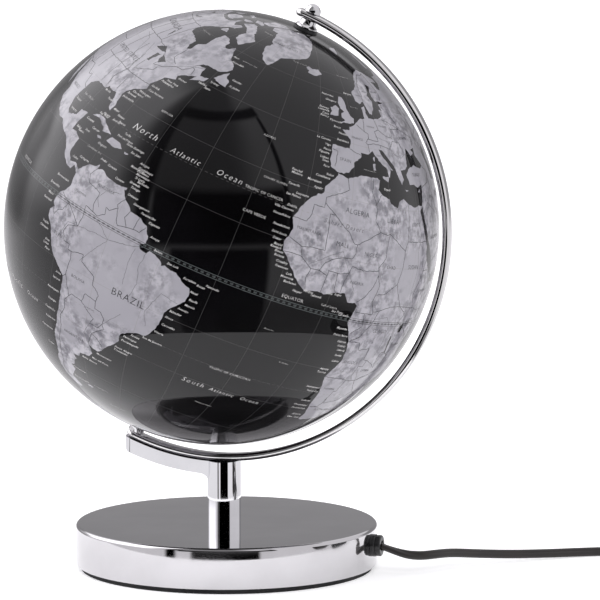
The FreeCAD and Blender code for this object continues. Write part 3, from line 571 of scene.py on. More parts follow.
# how far below the globe's centre the raw shapes reach before the arc's curve is cut out of them
ARM_RAW_TOP = 128 * MM
ARM_RAW_END = 112 * MM
COLUMN_RAW_TOP = 129 * MM
NIPPLE_BORE_R = 5.05 * MM
web_side = COLUMN_X - sqrt(COLUMN_R ** 2 - (ARM_THICK / 2) ** 2)
web_x = web_side - ARM_FILLET
web_z = CENTRE.z - sqrt((ARM_R_OUT + ARM_FILLET) ** 2 - (web_x - CENTRE.x) ** 2)
corner_x = ARM_END_X + ARM_CORNER
corner_z = CENTRE.z - sqrt((ARM_R_OUT - ARM_CORNER) ** 2 - (corner_x - CENTRE.x) ** 2)
side_outline = [(COLUMN_X, CENTRE.z - ARM_RAW_TOP), (COLUMN_X, web_z)]
side_outline += bend(web_x, web_z, ARM_FILLET, 0, 90, 6)
first_angle = degrees(atan2(web_z - CENTRE.z, web_x - CENTRE.x))
last_angle = degrees(atan2(corner_z - CENTRE.z, corner_x - CENTRE.x))
side_outline += bend(CENTRE.x, CENTRE.z, ARM_R_OUT, first_angle, last_angle, 24)[1:-1]
side_outline += bend(corner_x, corner_z, ARM_CORNER, last_angle, -180, 8)
side_outline += [(ARM_END_X, CENTRE.z - ARM_RAW_END)]
arm = object_from("arm", [(x, -ARM_THICK, z) for x, z in side_outline], [tuple(range(len(side_outline)))])
edit(arm)
bpy.ops.mesh.extrude_region_move(TRANSFORM_OT_translate={"value": (0, 2 * ARM_THICK, 0)})
bpy.ops.mesh.select_all(action="SELECT")
bpy.ops.mesh.normals_make_consistent(inside=False)
close()
PLAN_LENGTH = 90 * MM
bpy.ops.mesh.primitive_cube_add(size=1, location=(ARM_END_X + PLAN_LENGTH / 2, 0, 65 * MM))
plan = bpy.context.object
plan.scale = (PLAN_LENGTH, ARM_THICK, 60 * MM)
bpy.ops.object.transform_apply(location=True, rotation=True, scale=True)
edit(plan)
bpy.ops.mesh.select_mode(type="EDGE")
bpy.ops.mesh.select_all(action="DESELECT")
close()
for edge in plan.data.edges:
    ends = [plan.data.vertices[v].co for v in edge.vertices]
    edge.select = all(p.x < ARM_END_X + 0.01 * MM for p in ends) and abs(ends[0].y - ends[1].y) < 0.01 * MM
bpy.ops.object.mode_set(mode="EDIT")
bpy.ops.mesh.bevel(offset=ARM_EDGE, segments=10, profile=0.5)
bpy.ops.mesh.select_mode(type="VERT")
close()
boolean(arm, plan, "INTERSECT")
column_top = CENTRE.z - COLUMN_RAW_TOP
column = rod(COLUMN_R, column_top - BASE_TOP, (COLUMN_X, 0, (column_top + BASE_TOP) / 2), "Z", 160)
column.name = "column"
boolean(column, arm, "UNION")
boolean(column, rod(ARC_R_OUT, 60 * MM, CENTRE, "Y", 720))
boolean(column, rod(NIPPLE_BORE_R, 38 * MM, (COLUMN_X, 0, BASE_TOP - 1 * MM), "Z"))
smooth(column, 32)

# the booleans leave long thin faces, so the round and the flat faces are told their true direction
column_mesh = column.data
normals = [corner.vector.copy() for corner in column_mesh.corner_normals]
for face in column_mesh.polygons:
    spots = [column_mesh.vertices[v].co for v in face.vertices]
    on_round = all(abs(hypot(p.x - COLUMN_X, p.y) - COLUMN_R) < 0.03 * MM for p in spots)
    for corner, spot in zip(face.loop_indices, spots):
        if on_round and abs(face.normal.z) < 0.01:
            normals[corner] = Vector((spot.x - COLUMN_X, spot.y, 0)).normalized()
        elif abs(face.normal.y) > 0.999:
            normals[corner] = face.normal.copy()
column_mesh.normals_split_custom_set(normals)
column_chrome = chrome("column_chrome", (0.80, 0.80, 0.82), 0.03, 0.06, 0.02)
dress(column, "stand", "chrome", column_chrome, "column_arm")


# ---- Meridian arc ----
# A band of steel rolled to the globe's curve, with its long edges rounded, its ends cut round, and
# polished and chromed. It carries both pivots, and two countersunk screws hold it to the arm.
ARC_THICK = 4.3 * MM
ARC_WIDTH = 9.0 * MM
ARC_EDGE = 1.9 * MM
AXIS_TILT = 23.5
ARC_LAP = 4.5 * MM
arc_r_mid = ARC_R_OUT - ARC_THICK / 2
arc_south = -90.0 - AXIS_TILT
arc_north = 90.0 - AXIS_TILT + degrees(ARC_LAP / arc_r_mid)
section = []
for out, wide, start in ((1, 1, 0), (-1, 1, 90), (-1, -1, 180), (1, -1, 270)):
    section += bend(out * (ARC_THICK / 2 - ARC_EDGE), wide * (ARC_WIDTH / 2 - ARC_EDGE), ARC_EDGE,
                    start, start + 90, 5)
sections = []
ARC_STEPS = 300
END_STEPS = 10
for k in range(1, END_STEPS):
    sections.append((arc_south, -sin(pi / 2 * (1 - k / END_STEPS)), cos(pi / 2 * (1 - k / END_STEPS))))
for k in range(ARC_STEPS + 1):
    sections.append((arc_south + (arc_north - arc_south) * k / ARC_STEPS, 0.0, 1.0))
for k in range(1, END_STEPS):
    sections.append((arc_north, sin(pi / 2 * k / END_STEPS), cos(pi / 2 * k / END_STEPS)))
verts = []
for angle, beyond, width in sections:
    outward = Vector((cos(radians(angle)), 0, sin(radians(angle))))
    onward = Vector((-outward.z, 0, outward.x))
    for out, wide in section:
        # around an end each point keeps its distance from the end's own middle line
        verts.append(CENTRE + outward * (arc_r_mid + out) + onward * (abs(wide) * beyond)
                     + Vector((0, wide * width, 0)))
arc = object_from("arc", verts, tube_faces(len(section), len(sections)))
axis_angle = radians(90 - AXIS_TILT)
axis = Vector((cos(axis_angle), 0, sin(axis_angle)))


def along_axis(distance):
    """A frame on the globe's axis: +Z points north, and its origin is that far from the centre."""
    return Matrix.Translation(CENTRE + axis * distance) @ Matrix.Rotation(radians(AXIS_TILT), 4, "Y")


NORTH_BORE = 2.55 * MM
SOUTH_BORE = 3.15 * MM
BAND_MIDDLE = 133 * MM
for distance, radius in ((BAND_MIDDLE, NORTH_BORE), (-BAND_MIDDLE, SOUTH_BORE)):
    drill = rod(radius, 14 * MM, (0, 0, 0), "Z", 32)
    put(drill, along_axis(distance))
    boolean(arc, drill)
smooth(arc, 35)
arc_chrome = chrome("arc_chrome", (0.73, 0.72, 0.725), 0.04, 0.08, 0.03)
dress(arc, "stand", "chrome", arc_chrome, "meridian_arc")


# ---- Pivots ----
# A dome-headed screw goes through the arc's upper end into the globe. A flared chromed collar under
# the band and a thin black washer on the ball keep it running true, and the same pair sits below.
COLLAR_LOW = GLOBE_R + 1.3 * MM
ARC_R_IN = ARC_R_OUT - ARC_THICK
DOME_R = 4.7 * MM
DOME_BALL = 4.9 * MM
dome_centre = ARC_R_OUT + 0.2 * MM
PIN_LOW = 112 * MM
PIN_TIP_R = 1.9 * MM
PIN_R = 2.5 * MM
outline = [(0, PIN_LOW), (PIN_TIP_R, PIN_LOW), (PIN_R, 112.6 * MM), (PIN_R, ARC_R_OUT)]
outline += bend(DOME_R - 0.3 * MM, ARC_R_OUT + 0.3 * MM, 0.3 * MM, -90, 0, 3)
outline += [(DOME_BALL * cos(radians(a)) * DOME_R / DOME_BALL, dome_centre + DOME_BALL * sin(radians(a)))
            for a in (6, 16, 26, 36, 46, 56, 66, 76, 84)] + [(0, dome_centre + DOME_BALL)]
pin = turned("pivot_pin", outline, 64)
put(pin, along_axis(0))
smooth(pin, 40)
pivot_chrome = chrome("pivot_chrome", (0.64, 0.635, 0.65), 0.03, 0.07, 0.02)
dress(pin, "stand", "chrome", pivot_chrome, "north_pin")
for end, bore, turn in (("north", NORTH_BORE, 0.0), ("south", SOUTH_BORE, pi)):
    outline = [(bore, COLLAR_LOW), (6.1 * MM, COLLAR_LOW), (6.3 * MM, COLLAR_LOW + 0.2 * MM)]
    outline += [(6.3 * MM, COLLAR_LOW + 0.8 * MM), (6.0 * MM, COLLAR_LOW + 1.1 * MM)]
    outline += [(5.4 * MM, COLLAR_LOW + 1.5 * MM), (4.9 * MM, COLLAR_LOW + 2.1 * MM),
                (4.65 * MM, COLLAR_LOW + 2.9 * MM)]
    outline += [(4.6 * MM, ARC_R_IN - 0.1 * MM), (bore, ARC_R_IN - 0.1 * MM)]
    collar = turned(end + "_spacer", outline, 64)
    put(collar, along_axis(0) @ Matrix.Rotation(turn, 4, "X"))
    smooth(collar, 25)
    dress(collar, "stand", "chrome", pivot_chrome, end + "_collar")
black_nylon = moulded("bush_nylon", (0.018, 0.018, 0.02), 0.45, 0.1)
redress(["north_washer", "south_washer", "north_bush", "south_bush"], black_nylon)
redress(["equator_ring"], moulded("ring_plastic", (0.5, 0.5, 0.48), 0.5))


# ---- Globe shells ----
# Two hemispheres of clear plastic, printed black with a silver map on the outside, lacquered to a
# high gloss, and glued together over a ring inside the equator. Each has a hole at its pole.
SHELL_WALL = 2 * MM
MAP_TURN = 43.3
globe_frame = along_axis(0)

coasts = {
    "south_america": [
        (-77.4, 8.6), (-75.6, 10.4), (-74.8, 11.1), (-73, 11.4), (-71.7, 12.4), (-71.9, 11.2),
        (-70.2, 11.7), (-68.3, 10.9), (-66, 10.6), (-64.2, 10.3), (-61.9, 10.7), (-60.9, 9.3), (-60.2, 8.4),
        (-58.5, 7.3), (-57.2, 6), (-55.1, 5.9), (-53.9, 5.8), (-52.2, 4.8), (-51.2, 4), (-50, 1.8),
        (-50, 0.6), (-51.4, -0.4), (-50.8, -1.4), (-48.9, -1.7), (-48.3, -0.8), (-46.6, -1), (-44.7, -1.9),
        (-44.2, -2.9), (-43.3, -2.4), (-41.5, -3), (-39.9, -2.9), (-38.4, -3.8), (-37.2, -4.7),
        (-35.4, -5.2), (-34.8, -7.2), (-35.1, -9), (-36.5, -10.6), (-37.4, -11.6), (-38.4, -12.9),
        (-39, -14), (-39, -16), (-39.2, -17.8), (-39.8, -19.7), (-41, -21.9), (-42.1, -22.9),
        (-44.3, -23.1), (-46.2, -24), (-48.5, -25.6), (-48.7, -28.3), (-50.1, -30), (-52.2, -32.2),
        (-53.5, -34), (-54.9, -35), (-56.7, -34.8), (-58.4, -34), (-57.4, -35.5), (-56.8, -36.7),
        (-58, -38.3), (-61.8, -39), (-62.4, -40.6), (-64.9, -41), (-63.9, -42.3), (-65.2, -43.4),
        (-65.5, -45), (-67.4, -46), (-65.8, -47.4), (-67.6, -49.8), (-69.2, -51.2), (-68.4, -52.6),
        (-65.2, -54.7), (-67.5, -55.6), (-70.9, -54.9), (-74.3, -52.6), (-75.5, -49.5), (-75.4, -46.7),
        (-73.8, -44.5), (-73.5, -41.8), (-73.6, -39.8), (-73.4, -37.2), (-71.8, -33.5), (-71.4, -30.2),
        (-70.7, -27), (-70.3, -21.8), (-70.4, -18.4), (-73, -16.5), (-76.1, -13.9), (-77.3, -11.6),
        (-78.8, -8.4), (-81, -6.1), (-81.2, -4.4), (-79.9, -3.1), (-80.8, -2.2), (-80.4, -0.4),
        (-79.9, 0.9), (-78.6, 1.8), (-77.3, 3.9), (-77.7, 7.2)],
    "north_america": [
        (-77.3, 8.3), (-79.6, 9.5), (-81.8, 9), (-83.6, 10.9), (-83.3, 14.8), (-86, 15.9), (-88.2, 15.8),
        (-88, 18.4), (-87, 21.4), (-90.3, 21.2), (-90.8, 19.3), (-94.6, 18.2), (-96.2, 19.3), (-97.8, 22.5),
        (-97.2, 25.9), (-97.2, 27.9), (-94.7, 29.4), (-91.5, 29.4), (-89.4, 29.2), (-88.2, 30.3),
        (-85.3, 29.8), (-83.9, 30), (-82.7, 28), (-81.8, 25.9), (-80.4, 25.2), (-80.1, 26.9), (-81.4, 30.4),
        (-81, 31.9), (-78.9, 33.7), (-76.6, 34.7), (-75.6, 35.3), (-76.3, 37), (-75.1, 38.5), (-74, 40.6),
        (-72, 41.2), (-70, 41.7), (-70.8, 42.9), (-69, 44.1), (-66.9, 44.8), (-64.7, 45.6), (-66.1, 43.6),
        (-63.5, 44.7), (-61.2, 45.3), (-60.6, 46.8), (-64, 46.2), (-64.9, 47.9), (-65, 49.2), (-67.8, 49),
        (-70.8, 47.1), (-67.2, 49.9), (-64.5, 50.3), (-60.2, 50.2), (-57, 51.5), (-55.8, 52.8),
        (-57.4, 54.6), (-60.3, 55.8), (-61.8, 57.5), (-64.6, 60.4), (-66, 58.9), (-68.2, 58.5),
        (-69.6, 59.2), (-70, 61), (-73.7, 62.4), (-77.7, 62.5), (-78.3, 60), (-77, 56), (-79.5, 54.7),
        (-79, 52), (-80.4, 51.3), (-82.2, 53), (-82.4, 55.1), (-87, 56.3), (-92.3, 57), (-94.7, 58.8),
        (-94.3, 61), (-92, 62.7), (-88, 64.2), (-86.5, 66.3), (-82.5, 67), (-82, 69.4), (-85.5, 69.7),
        (-88, 68.2), (-93, 69.5), (-95, 71.8), (-97, 68.5), (-102, 67.8), (-108, 68), (-115, 68.4),
        (-121, 69.8), (-128, 70.5), (-135, 69.2), (-141, 69.7), (-151, 70.7), (-157, 71.3), (-163, 69.6),
        (-166.5, 68.3), (-162, 66.3), (-168, 65.6), (-161, 64.4), (-164.8, 62.9), (-165.5, 60.5),
        (-162, 59), (-158, 58), (-163.5, 55.2), (-158.5, 56), (-153.5, 58.8), (-151.8, 60.5),
        (-148.5, 60.2), (-144, 60.1), (-139.6, 59.6), (-135.5, 57.5), (-131.8, 54.9), (-128, 51),
        (-124.2, 49), (-124.6, 47.8), (-124, 44.5), (-124.3, 40.5), (-122.5, 37.6), (-120.6, 34.6),
        (-117.3, 32.9), (-115.7, 29.8), (-114.2, 27.5), (-112.2, 25), (-109.5, 22.9), (-110.8, 25.5),
        (-112.6, 28.6), (-114.6, 31.7), (-112.6, 30.5), (-109.4, 26.3), (-105.6, 22.8), (-105.5, 20.3),
        (-102, 18), (-98, 16.1), (-95, 16.1), (-92.3, 14.5), (-88.5, 13.2), (-85.9, 11), (-85.4, 9.9),
        (-83.6, 8.6), (-82.9, 8.1), (-80.3, 7.4), (-79.6, 8.8), (-78.3, 8), (-77.7, 7.4)],
    "africa": [
        (-5.9, 35.8), (-2, 35.1), (3, 36.9), (10, 37.3), (11.1, 36.8), (10.2, 34.3), (12, 33), (15.3, 32.3),
        (15.9, 31.2), (19, 30.3), (20.2, 32.1), (22.5, 32.9), (25.2, 31.6), (29, 30.9), (31.5, 31.5),
        (34.2, 31.3), (32.6, 29.9), (33.6, 27.8), (35.5, 24), (37.2, 21), (37.4, 18.6), (39.5, 15.5),
        (43.1, 12.3), (43.2, 11.5), (44.6, 10.4), (51.2, 11.8), (50.6, 9), (47.9, 4.5), (43.5, 0.6),
        (41, -2), (39.3, -4.9), (39.5, -9), (40.5, -11), (40.6, -15), (36.8, -18), (34.9, -20), (35.5, -24),
        (32.8, -26), (32.4, -28.6), (30, -31.3), (26.5, -33.7), (20, -34.8), (18.4, -34.2), (18.2, -31.8),
        (15.8, -28), (14.5, -22.8), (11.8, -17.6), (13.7, -12), (13.3, -8.8), (12.2, -5.9), (8.8, -1),
        (9.6, 3.9), (8.5, 4.6), (6, 4.3), (4.3, 6.4), (1.2, 6), (-2, 4.8), (-4, 5.2), (-7.6, 4.4),
        (-9.4, 5.4), (-11.4, 6.9), (-13.2, 8.9), (-15, 11), (-16.8, 12.4), (-17.4, 14.7), (-16.5, 16.3),
        (-16.3, 19.2), (-17.1, 20.9), (-16, 23.7), (-14.4, 26.2), (-12.8, 27.9), (-9.8, 29.7), (-9.7, 31.4),
        (-6.8, 34.1)],
    "europe_and_asia": [
        (-5.6, 36), (-8.9, 37), (-9.4, 38.8), (-8.8, 43.2), (-1.8, 43.4), (-1.2, 46), (-4.7, 48.4),
        (-1.5, 48.7), (-1.3, 49.7), (1.6, 50.9), (4.8, 53), (8.2, 53.6), (8.3, 55.6), (8.2, 57),
        (10.6, 57.7), (10, 55.5), (10.9, 54), (14.2, 54), (18.5, 54.7), (21.2, 55.5), (21.5, 57.5),
        (24, 57.2), (23.6, 59.2), (29.5, 59.9), (25, 60.2), (22.5, 60), (21.3, 61.5), (22, 63.2),
        (25.3, 65.1), (22.2, 65.8), (20.5, 63.8), (17.2, 61.7), (18.9, 60), (16.5, 57), (14.2, 55.4),
        (12.8, 55.5), (11.1, 59.1), (8, 58.1), (5.5, 58.8), (5, 61.5), (10, 64), (14.5, 68), (19, 69.8),
        (25.8, 71.1), (31, 70.3), (41, 67.5), (40, 66.2), (33.5, 66.8), (34.8, 64.5), (38, 64), (44, 66.1),
        (44, 68.4), (54, 68.5), (60.5, 69.7), (68.5, 68.4), (67, 72), (72.5, 72.8), (73, 68.5), (75.5, 72),
        (80.5, 73.5), (104, 77.7), (113, 73.8), (129, 71.3), (140, 72.5), (152, 70.9), (160, 69.7),
        (170, 69.9), (180, 69), (190, 66.1), (181, 64.4), (179, 62.4), (170, 60), (163, 57.8), (162, 55),
        (156.7, 51), (155.7, 56), (163.5, 61.6), (155, 59.3), (142.7, 59.2), (135.2, 54.7), (140.6, 53),
        (140, 48.4), (135.5, 44), (131, 42.8), (127.6, 39.6), (129.4, 37), (129.2, 35.2), (126.4, 34.5),
        (126.7, 37.5), (125, 39.5), (121.5, 38.9), (118, 39), (122.4, 37), (119.3, 35), (121.8, 31.5),
        (121.5, 28.5), (118, 24.4), (113.5, 22.2), (110, 21.2), (108, 21.5), (105.8, 18.8), (109.2, 12.8),
        (106.8, 10.4), (105, 8.7), (104.5, 10.5), (100.9, 12.8), (99.3, 9.5), (103.3, 4.5), (104, 1.4),
        (101.3, 2.8), (98.3, 8), (98.6, 13), (97.3, 16.8), (94.3, 16), (92, 21.3), (90, 22.2), (87, 21.3),
        (82.3, 16.8), (80.2, 13.3), (79.9, 10.3), (77.5, 8.1), (74.8, 13), (72.8, 19), (72.6, 21.3),
        (69, 22.3), (66.8, 25), (61.6, 25.2), (57, 26.8), (54, 26.6), (50, 30), (48, 29.8), (50.3, 26.5),
        (51.6, 25.2), (54, 24.2), (56.3, 26.2), (57, 24), (59.8, 22.5), (57.7, 19), (52.2, 15.6),
        (45, 12.8), (43.3, 13), (42.6, 16.6), (39.1, 21.3), (35.2, 28), (34.9, 29.4), (34.3, 31.3),
        (36, 35), (36.1, 36.8), (32.5, 36.1), (30.6, 36.8), (27.4, 36.8), (26.3, 39.4), (29, 41.1),
        (33.5, 42), (38.5, 41), (41.5, 41.6), (37.5, 44.6), (38.5, 46.7), (35, 46.2), (36.5, 45.3),
        (33.5, 44.5), (31, 46.6), (28.7, 44), (28, 41.7), (26, 40.7), (23, 40.4), (24, 38), (22.5, 36.5),
        (21.2, 38), (19.4, 41.3), (14, 45.2), (12.3, 45.3), (13.6, 43.5), (16, 41.9), (18.4, 40.1),
        (17, 40.4), (16.2, 38), (15.7, 38.2), (15.4, 40), (12.3, 41.7), (10.3, 43), (8.8, 44.4),
        (6.5, 43.1), (3.1, 43.1), (3.2, 41.9), (0, 39.8), (0.1, 38.7), (-2, 36.7)],
    "greenland": [
        (-73, 78.2), (-67.5, 76.1), (-60, 76.1), (-55.5, 72.5), (-54, 70.5), (-51, 69.5), (-53.6, 67),
        (-51.5, 64), (-48.5, 61.2), (-44.5, 60), (-42.8, 61.5), (-40.5, 65), (-34, 66.7), (-25, 69.2),
        (-22, 71.5), (-21, 74), (-19, 76.5), (-17.5, 80), (-22, 81.8), (-33, 83.4), (-48, 82.7), (-60, 82),
        (-66, 80.8)],
    "baffin": [
        (-61.5, 66.5), (-64.5, 63.3), (-66, 62), (-72, 64), (-73.5, 65.5), (-73, 68), (-79, 70), (-88, 71),
        (-85, 73.6), (-80, 73.7), (-72, 71.5), (-67.5, 69)],
    "victoria_island": [(-117, 71), (-115, 69.3), (-105, 68.9), (-101, 69.6), (-105, 72.8), (-112, 72.9)],
    "banks_island": [(-125, 72), (-122, 71.3), (-118, 73), (-122, 74.4)],
    "devon": [(-80, 75), (-90, 74.7), (-96, 76), (-90, 76.8), (-81, 76)],
    "somerset": [(-90, 73), (-95, 72.2), (-100, 73), (-95, 74), (-90, 74)],
    "melville": [(-105, 75.3), (-115, 74.9), (-118, 76), (-108, 76.5)],
    "ellesmere": [(-78, 77), (-88, 76.8), (-90, 79), (-94, 81), (-80, 83), (-64, 82.4), (-72, 79.5)],
    "southampton": [(-80.5, 64), (-86, 63.7), (-85, 65.8), (-82, 64.8)],
    "newfoundland": [
        (-59.3, 47.7), (-55.9, 46.9), (-53.1, 46.7), (-53.2, 48.6), (-55.5, 50), (-55.6, 51.5), (-57.5, 50)],
    "cuba": [
        (-84.9, 21.9), (-82.5, 23), (-79.5, 22.8), (-77, 21.6), (-74.2, 20.2), (-77.6, 19.9), (-78.2, 20.9),
        (-81.8, 22.2)],
    "hispaniola": [(-74.4, 18.4), (-73.3, 19.9), (-70, 19.7), (-68.4, 18.6), (-71.3, 17.9)],
    "jamaica": [(-78.3, 18.3), (-77, 18.5), (-76.3, 18), (-77.6, 17.8)],
    "puerto_rico": [(-67.2, 18.4), (-65.7, 18.4), (-66, 18), (-67.1, 18)],
    "trinidad": [(-61.9, 10.6), (-60.9, 10.8), (-61, 10.1), (-61.9, 10.1)],
    "falklands": [(-61, -51.8), (-59, -51.4), (-57.8, -51.7), (-59, -52.3), (-60.6, -52.2)],
    "britain": [
        (-5.6, 50.1), (-3, 50.6), (1.4, 51.2), (1.7, 52.7), (0.2, 53.2), (-1.5, 55), (-2, 57.6),
        (-3.1, 58.6), (-5, 58.6), (-5.8, 56.5), (-4.9, 54.8), (-3, 54), (-4.6, 53.3), (-4.6, 52), (-3, 51.4)],
    "ireland": [(-10.2, 51.7), (-6.3, 52.2), (-5.6, 54.5), (-7.3, 55.3), (-10, 54.2), (-9.3, 53)],
    "iceland": [
        (-24, 65.6), (-22.5, 66.4), (-20, 65.8), (-16, 66.5), (-13.6, 65), (-18.7, 63.4), (-22.7, 63.8),
        (-22, 64.8)],
    "sicily": [(12.5, 38), (15.6, 38.2), (15.1, 36.7), (12.6, 37.6)],
    "sardinia": [(8.3, 40.8), (9.6, 41), (9.6, 39.2), (8.5, 39)],
    "corsica": [(8.6, 42.4), (9.5, 42.9), (9.3, 41.5)],
    "crete": [(23.6, 35.5), (26.2, 35.2), (24.8, 34.9)],
    "cyprus": [(32.4, 35), (34.4, 35.6), (33.6, 34.8)],
    "svalbard": [(11, 79.3), (16, 76.7), (22, 78.3), (26, 80), (16, 80)],
    "novaya_zemlya": [(52, 71.2), (57, 70.8), (60, 74.5), (68, 76.8), (58, 75.5), (53.5, 73)],
    "madagascar": [(49.3, -12), (50.5, -15.8), (47.2, -25), (44.2, -25), (43.3, -22.2), (44.4, -16.2)],
    "sri_lanka": [(80, 9.5), (81.8, 7.5), (80.6, 6), (79.8, 7.5)],
    "sumatra": [(95.3, 5.6), (98, 4.2), (103.8, -1), (106, -5.8), (102.3, -4), (98.7, 1.5)],
    "java": [(105.2, -6.8), (108.5, -6.7), (114.4, -7.8), (114.5, -8.7), (108, -7.8)],
    "borneo": [(109, 1.5), (113, 3.2), (117, 7), (119, 5.2), (117.5, 1), (116, -4), (110.3, -2.9)],
    "sulawesi": [(119.5, -5.5), (120.5, -3), (122.5, -5), (121.5, -1), (125, 1.5), (120, 0.8), (119, -3)],
    "new_guinea": [
        (131, -0.8), (134, -0.8), (135, -3.3), (138, -1.7), (144.5, -3.9), (147.8, -6), (150.8, -10.5),
        (147, -9.5), (143, -9), (138, -8.3), (137.5, -5), (133, -4), (132, -2.7)],
    "luzon": [(120.2, 16), (120.8, 18.5), (122.2, 18.3), (121.6, 15.7), (124, 13), (120.7, 13.8)],
    "mindanao": [(122, 7), (123.5, 8.6), (125.5, 9.8), (126.5, 7.5), (125.4, 5.6), (124, 6.6)],
    "taiwan": [(120.1, 23.1), (121.5, 25.3), (121.9, 24.9), (120.9, 22)],
    "hainan": [(108.7, 19.2), (110.6, 20), (110.4, 18.5), (109, 18.3)],
    "kyushu": [(129.8, 33), (131, 34), (131.9, 32.8), (130.6, 31.2)],
    "honshu": [
        (131, 34.3), (133, 35.6), (136, 35.8), (137, 37.3), (139.4, 38.2), (140.2, 41.2), (142, 39.5),
        (140.8, 35.8), (138.3, 34.6), (135.6, 33.5)],
    "hokkaido": [(140, 42), (141.7, 45.4), (145.4, 43.5), (143.2, 42)],
    "sakhalin": [(142, 46.5), (142, 53), (143.2, 54.3), (144.5, 49), (143, 46.8)],
    "australia": [
        (113.7, -22.5), (114.2, -26.3), (115, -30), (115.5, -34), (118, -35), (123.5, -34), (129, -31.7),
        (132, -32), (135.5, -34.7), (138, -33), (138.5, -35.6), (141, -38.3), (146.3, -39), (150, -37.4),
        (152.5, -32.5), (153.5, -28), (151, -23.5), (146.3, -19), (145.3, -15), (142.5, -10.8),
        (141.5, -13.5), (140.8, -17.5), (135.5, -15), (136.8, -12.2), (132.5, -11.4), (130, -14),
        (125, -14.5), (122.2, -18)],
    "tasmania": [(144.7, -40.8), (148.3, -40.9), (148, -43), (146, -43.6)],
    "north_island": [
        (172.8, -34.5), (175.5, -36.6), (178.5, -37.7), (176.8, -40), (175, -41.5), (173.8, -39.3),
        (174.8, -37)],
    "south_island": [
        (172.7, -40.6), (174.2, -41.8), (172.8, -43.8), (170.7, -45.9), (168.5, -46.6), (166.6, -45.8),
        (170.5, -43)],
    "antarctica": [
        (-180, -78), (-165, -78.4), (-150, -77), (-135, -74.4), (-120, -73.7), (-103, -73.5), (-90, -73),
        (-76, -73.5), (-68, -70), (-67, -67), (-57.5, -63.3), (-61.5, -66), (-62, -72), (-64, -75),
        (-75, -78), (-60, -82), (-36, -78), (-27, -76), (-12, -71.5), (0, -70), (20, -70), (35, -69),
        (50, -66.5), (57, -67), (70, -69.5), (85, -67), (100, -66), (115, -66.7), (135, -66.2),
        (150, -68.5), (165, -71), (170, -77)],
}
lakes = {
    "caspian": [(47, 45), (51, 46.8), (53, 45), (51, 43), (53.5, 40), (53.8, 37), (50, 37.4), (49, 41)],
    "superior": [(-92, 46.8), (-88.5, 48.6), (-84.8, 46.8), (-87.5, 46.5)],
    "michigan": [(-87.7, 42), (-86.2, 42), (-85.3, 45.6), (-87.6, 45.4)],
    "huron": [(-84, 45.9), (-80, 44.6), (-82.3, 43.1), (-83.6, 44)],
    "great_bear": [(-125, 66), (-118, 66), (-121, 65)],
    "great_slave": [(-116.5, 61.2), (-109, 62.8), (-113, 60.9)],
    "winnipeg": [(-99, 53.6), (-97.6, 53.8), (-96.5, 50.6)],
    "victoria": [(31.8, -0.6), (34, 0.2), (33.6, -2.3), (31.9, -2.5)],
    "tanganyika": [(29.2, -3.5), (29.7, -3.5), (31.1, -8.6), (30.6, -8.6)],
    "aral": [(58.5, 45.5), (61, 46.5), (60, 43.8)],
    "baikal": [(104, 51.6), (109.6, 55.6), (107.5, 52.8)],
}

# the small bends of every coast, border and river start from one fixed seed
COAST_SEED = 7
noise.seed_set(COAST_SEED)


def wander(points, closed, step=0.8, amount=0.30):
    """Adds points along a drawn line, moved a little to and fro, as a coast or a river bends."""
    ends = points + points[:1] if closed else points
    out = []
    for (lon0, lat0), (lon1, lat1) in zip(ends, ends[1:]):
        lon1 += 360 * round((lon0 - lon1) / 360)
        shrink = max(0.1, cos(radians((lat0 + lat1) / 2)))
        pieces = max(1, ceil(hypot((lon1 - lon0) * shrink, lat1 - lat0) / step))
        for k in range(pieces):
            part = k / pieces
            lon, lat = lon0 + (lon1 - lon0) * part, lat0 + (lat1 - lat0) * part
            if 0 < k:
                off = noise.noise_vector(Vector((lon * 0.9, lat * 0.9, 3.0))) * amount
                off += noise.noise_vector(Vector((lon * 2.3, lat * 2.3, 9.0))) * amount * 0.5
                lon, lat = lon + off.x / shrink, lat + off.y
            out.append((lon, lat))
    if not closed:
        out.append(points[-1])
    return out


def on_globe(lon, lat, radius):
    """The place of a point of the map."""
    lon, lat = radians(lon - MAP_TURN), radians(lat)
    across = radius * cos(lat)
    return globe_frame @ Vector((across * cos(lon), across * sin(lon), radius * sin(lat)))


def map_coordinates(tree):
    """Longitude and latitude in degrees, as shader values."""
    place = tree.nodes.new("ShaderNodeTexCoord")
    upright = node(tree, "ShaderNodeMapping", vector_type="TEXTURE")
    upright.inputs["Location"].default_value = CENTRE
    upright.inputs["Rotation"].default_value = (0, radians(AXIS_TILT), 0)
    tree.links.new(place.outputs["Object"], upright.inputs[0])
    parts = tree.nodes.new("ShaderNodeSeparateXYZ")
    tree.links.new(upright.outputs[0], parts.inputs[0])
    x, y, z = parts.outputs
    lat = maths(tree, "MULTIPLY", maths(tree, "ARCSINE", maths(tree, "DIVIDE", z, GLOBE_R)), 180 / pi)
    lon = maths(tree, "ADD", maths(tree, "MULTIPLY", maths(tree, "ARCTAN2", y, x), 180 / pi), MAP_TURN)
    return lon, lat


def below(tree, value, limit, soft):
    """1 under a limit and 0 over it, with a soft edge."""
    return ramp(tree, value, limit - soft, limit + soft, 1.0, 0.0)


GRID_STEP = 15.0
DASH_STEP = 1.6
LINE_HALF, LINE_SOFT = 0.05, 0.03
TROPIC, POLAR_CIRCLE = 23.44, 66.56
RAIL_AT, RAIL_HALF = 0.52, 0.06
BLOCK_HALF = 0.22


def off_grid(tree, value):
    """How far a value is from the nearest line of the grid, as a share of the grid's step."""
    steps = maths(tree, "ADD", maths(tree, "DIVIDE", value, GRID_STEP), 20.5)
    return maths(tree, "ABSOLUTE", maths(tree, "SUBTRACT", maths(tree, "FRACT", steps), 0.5))


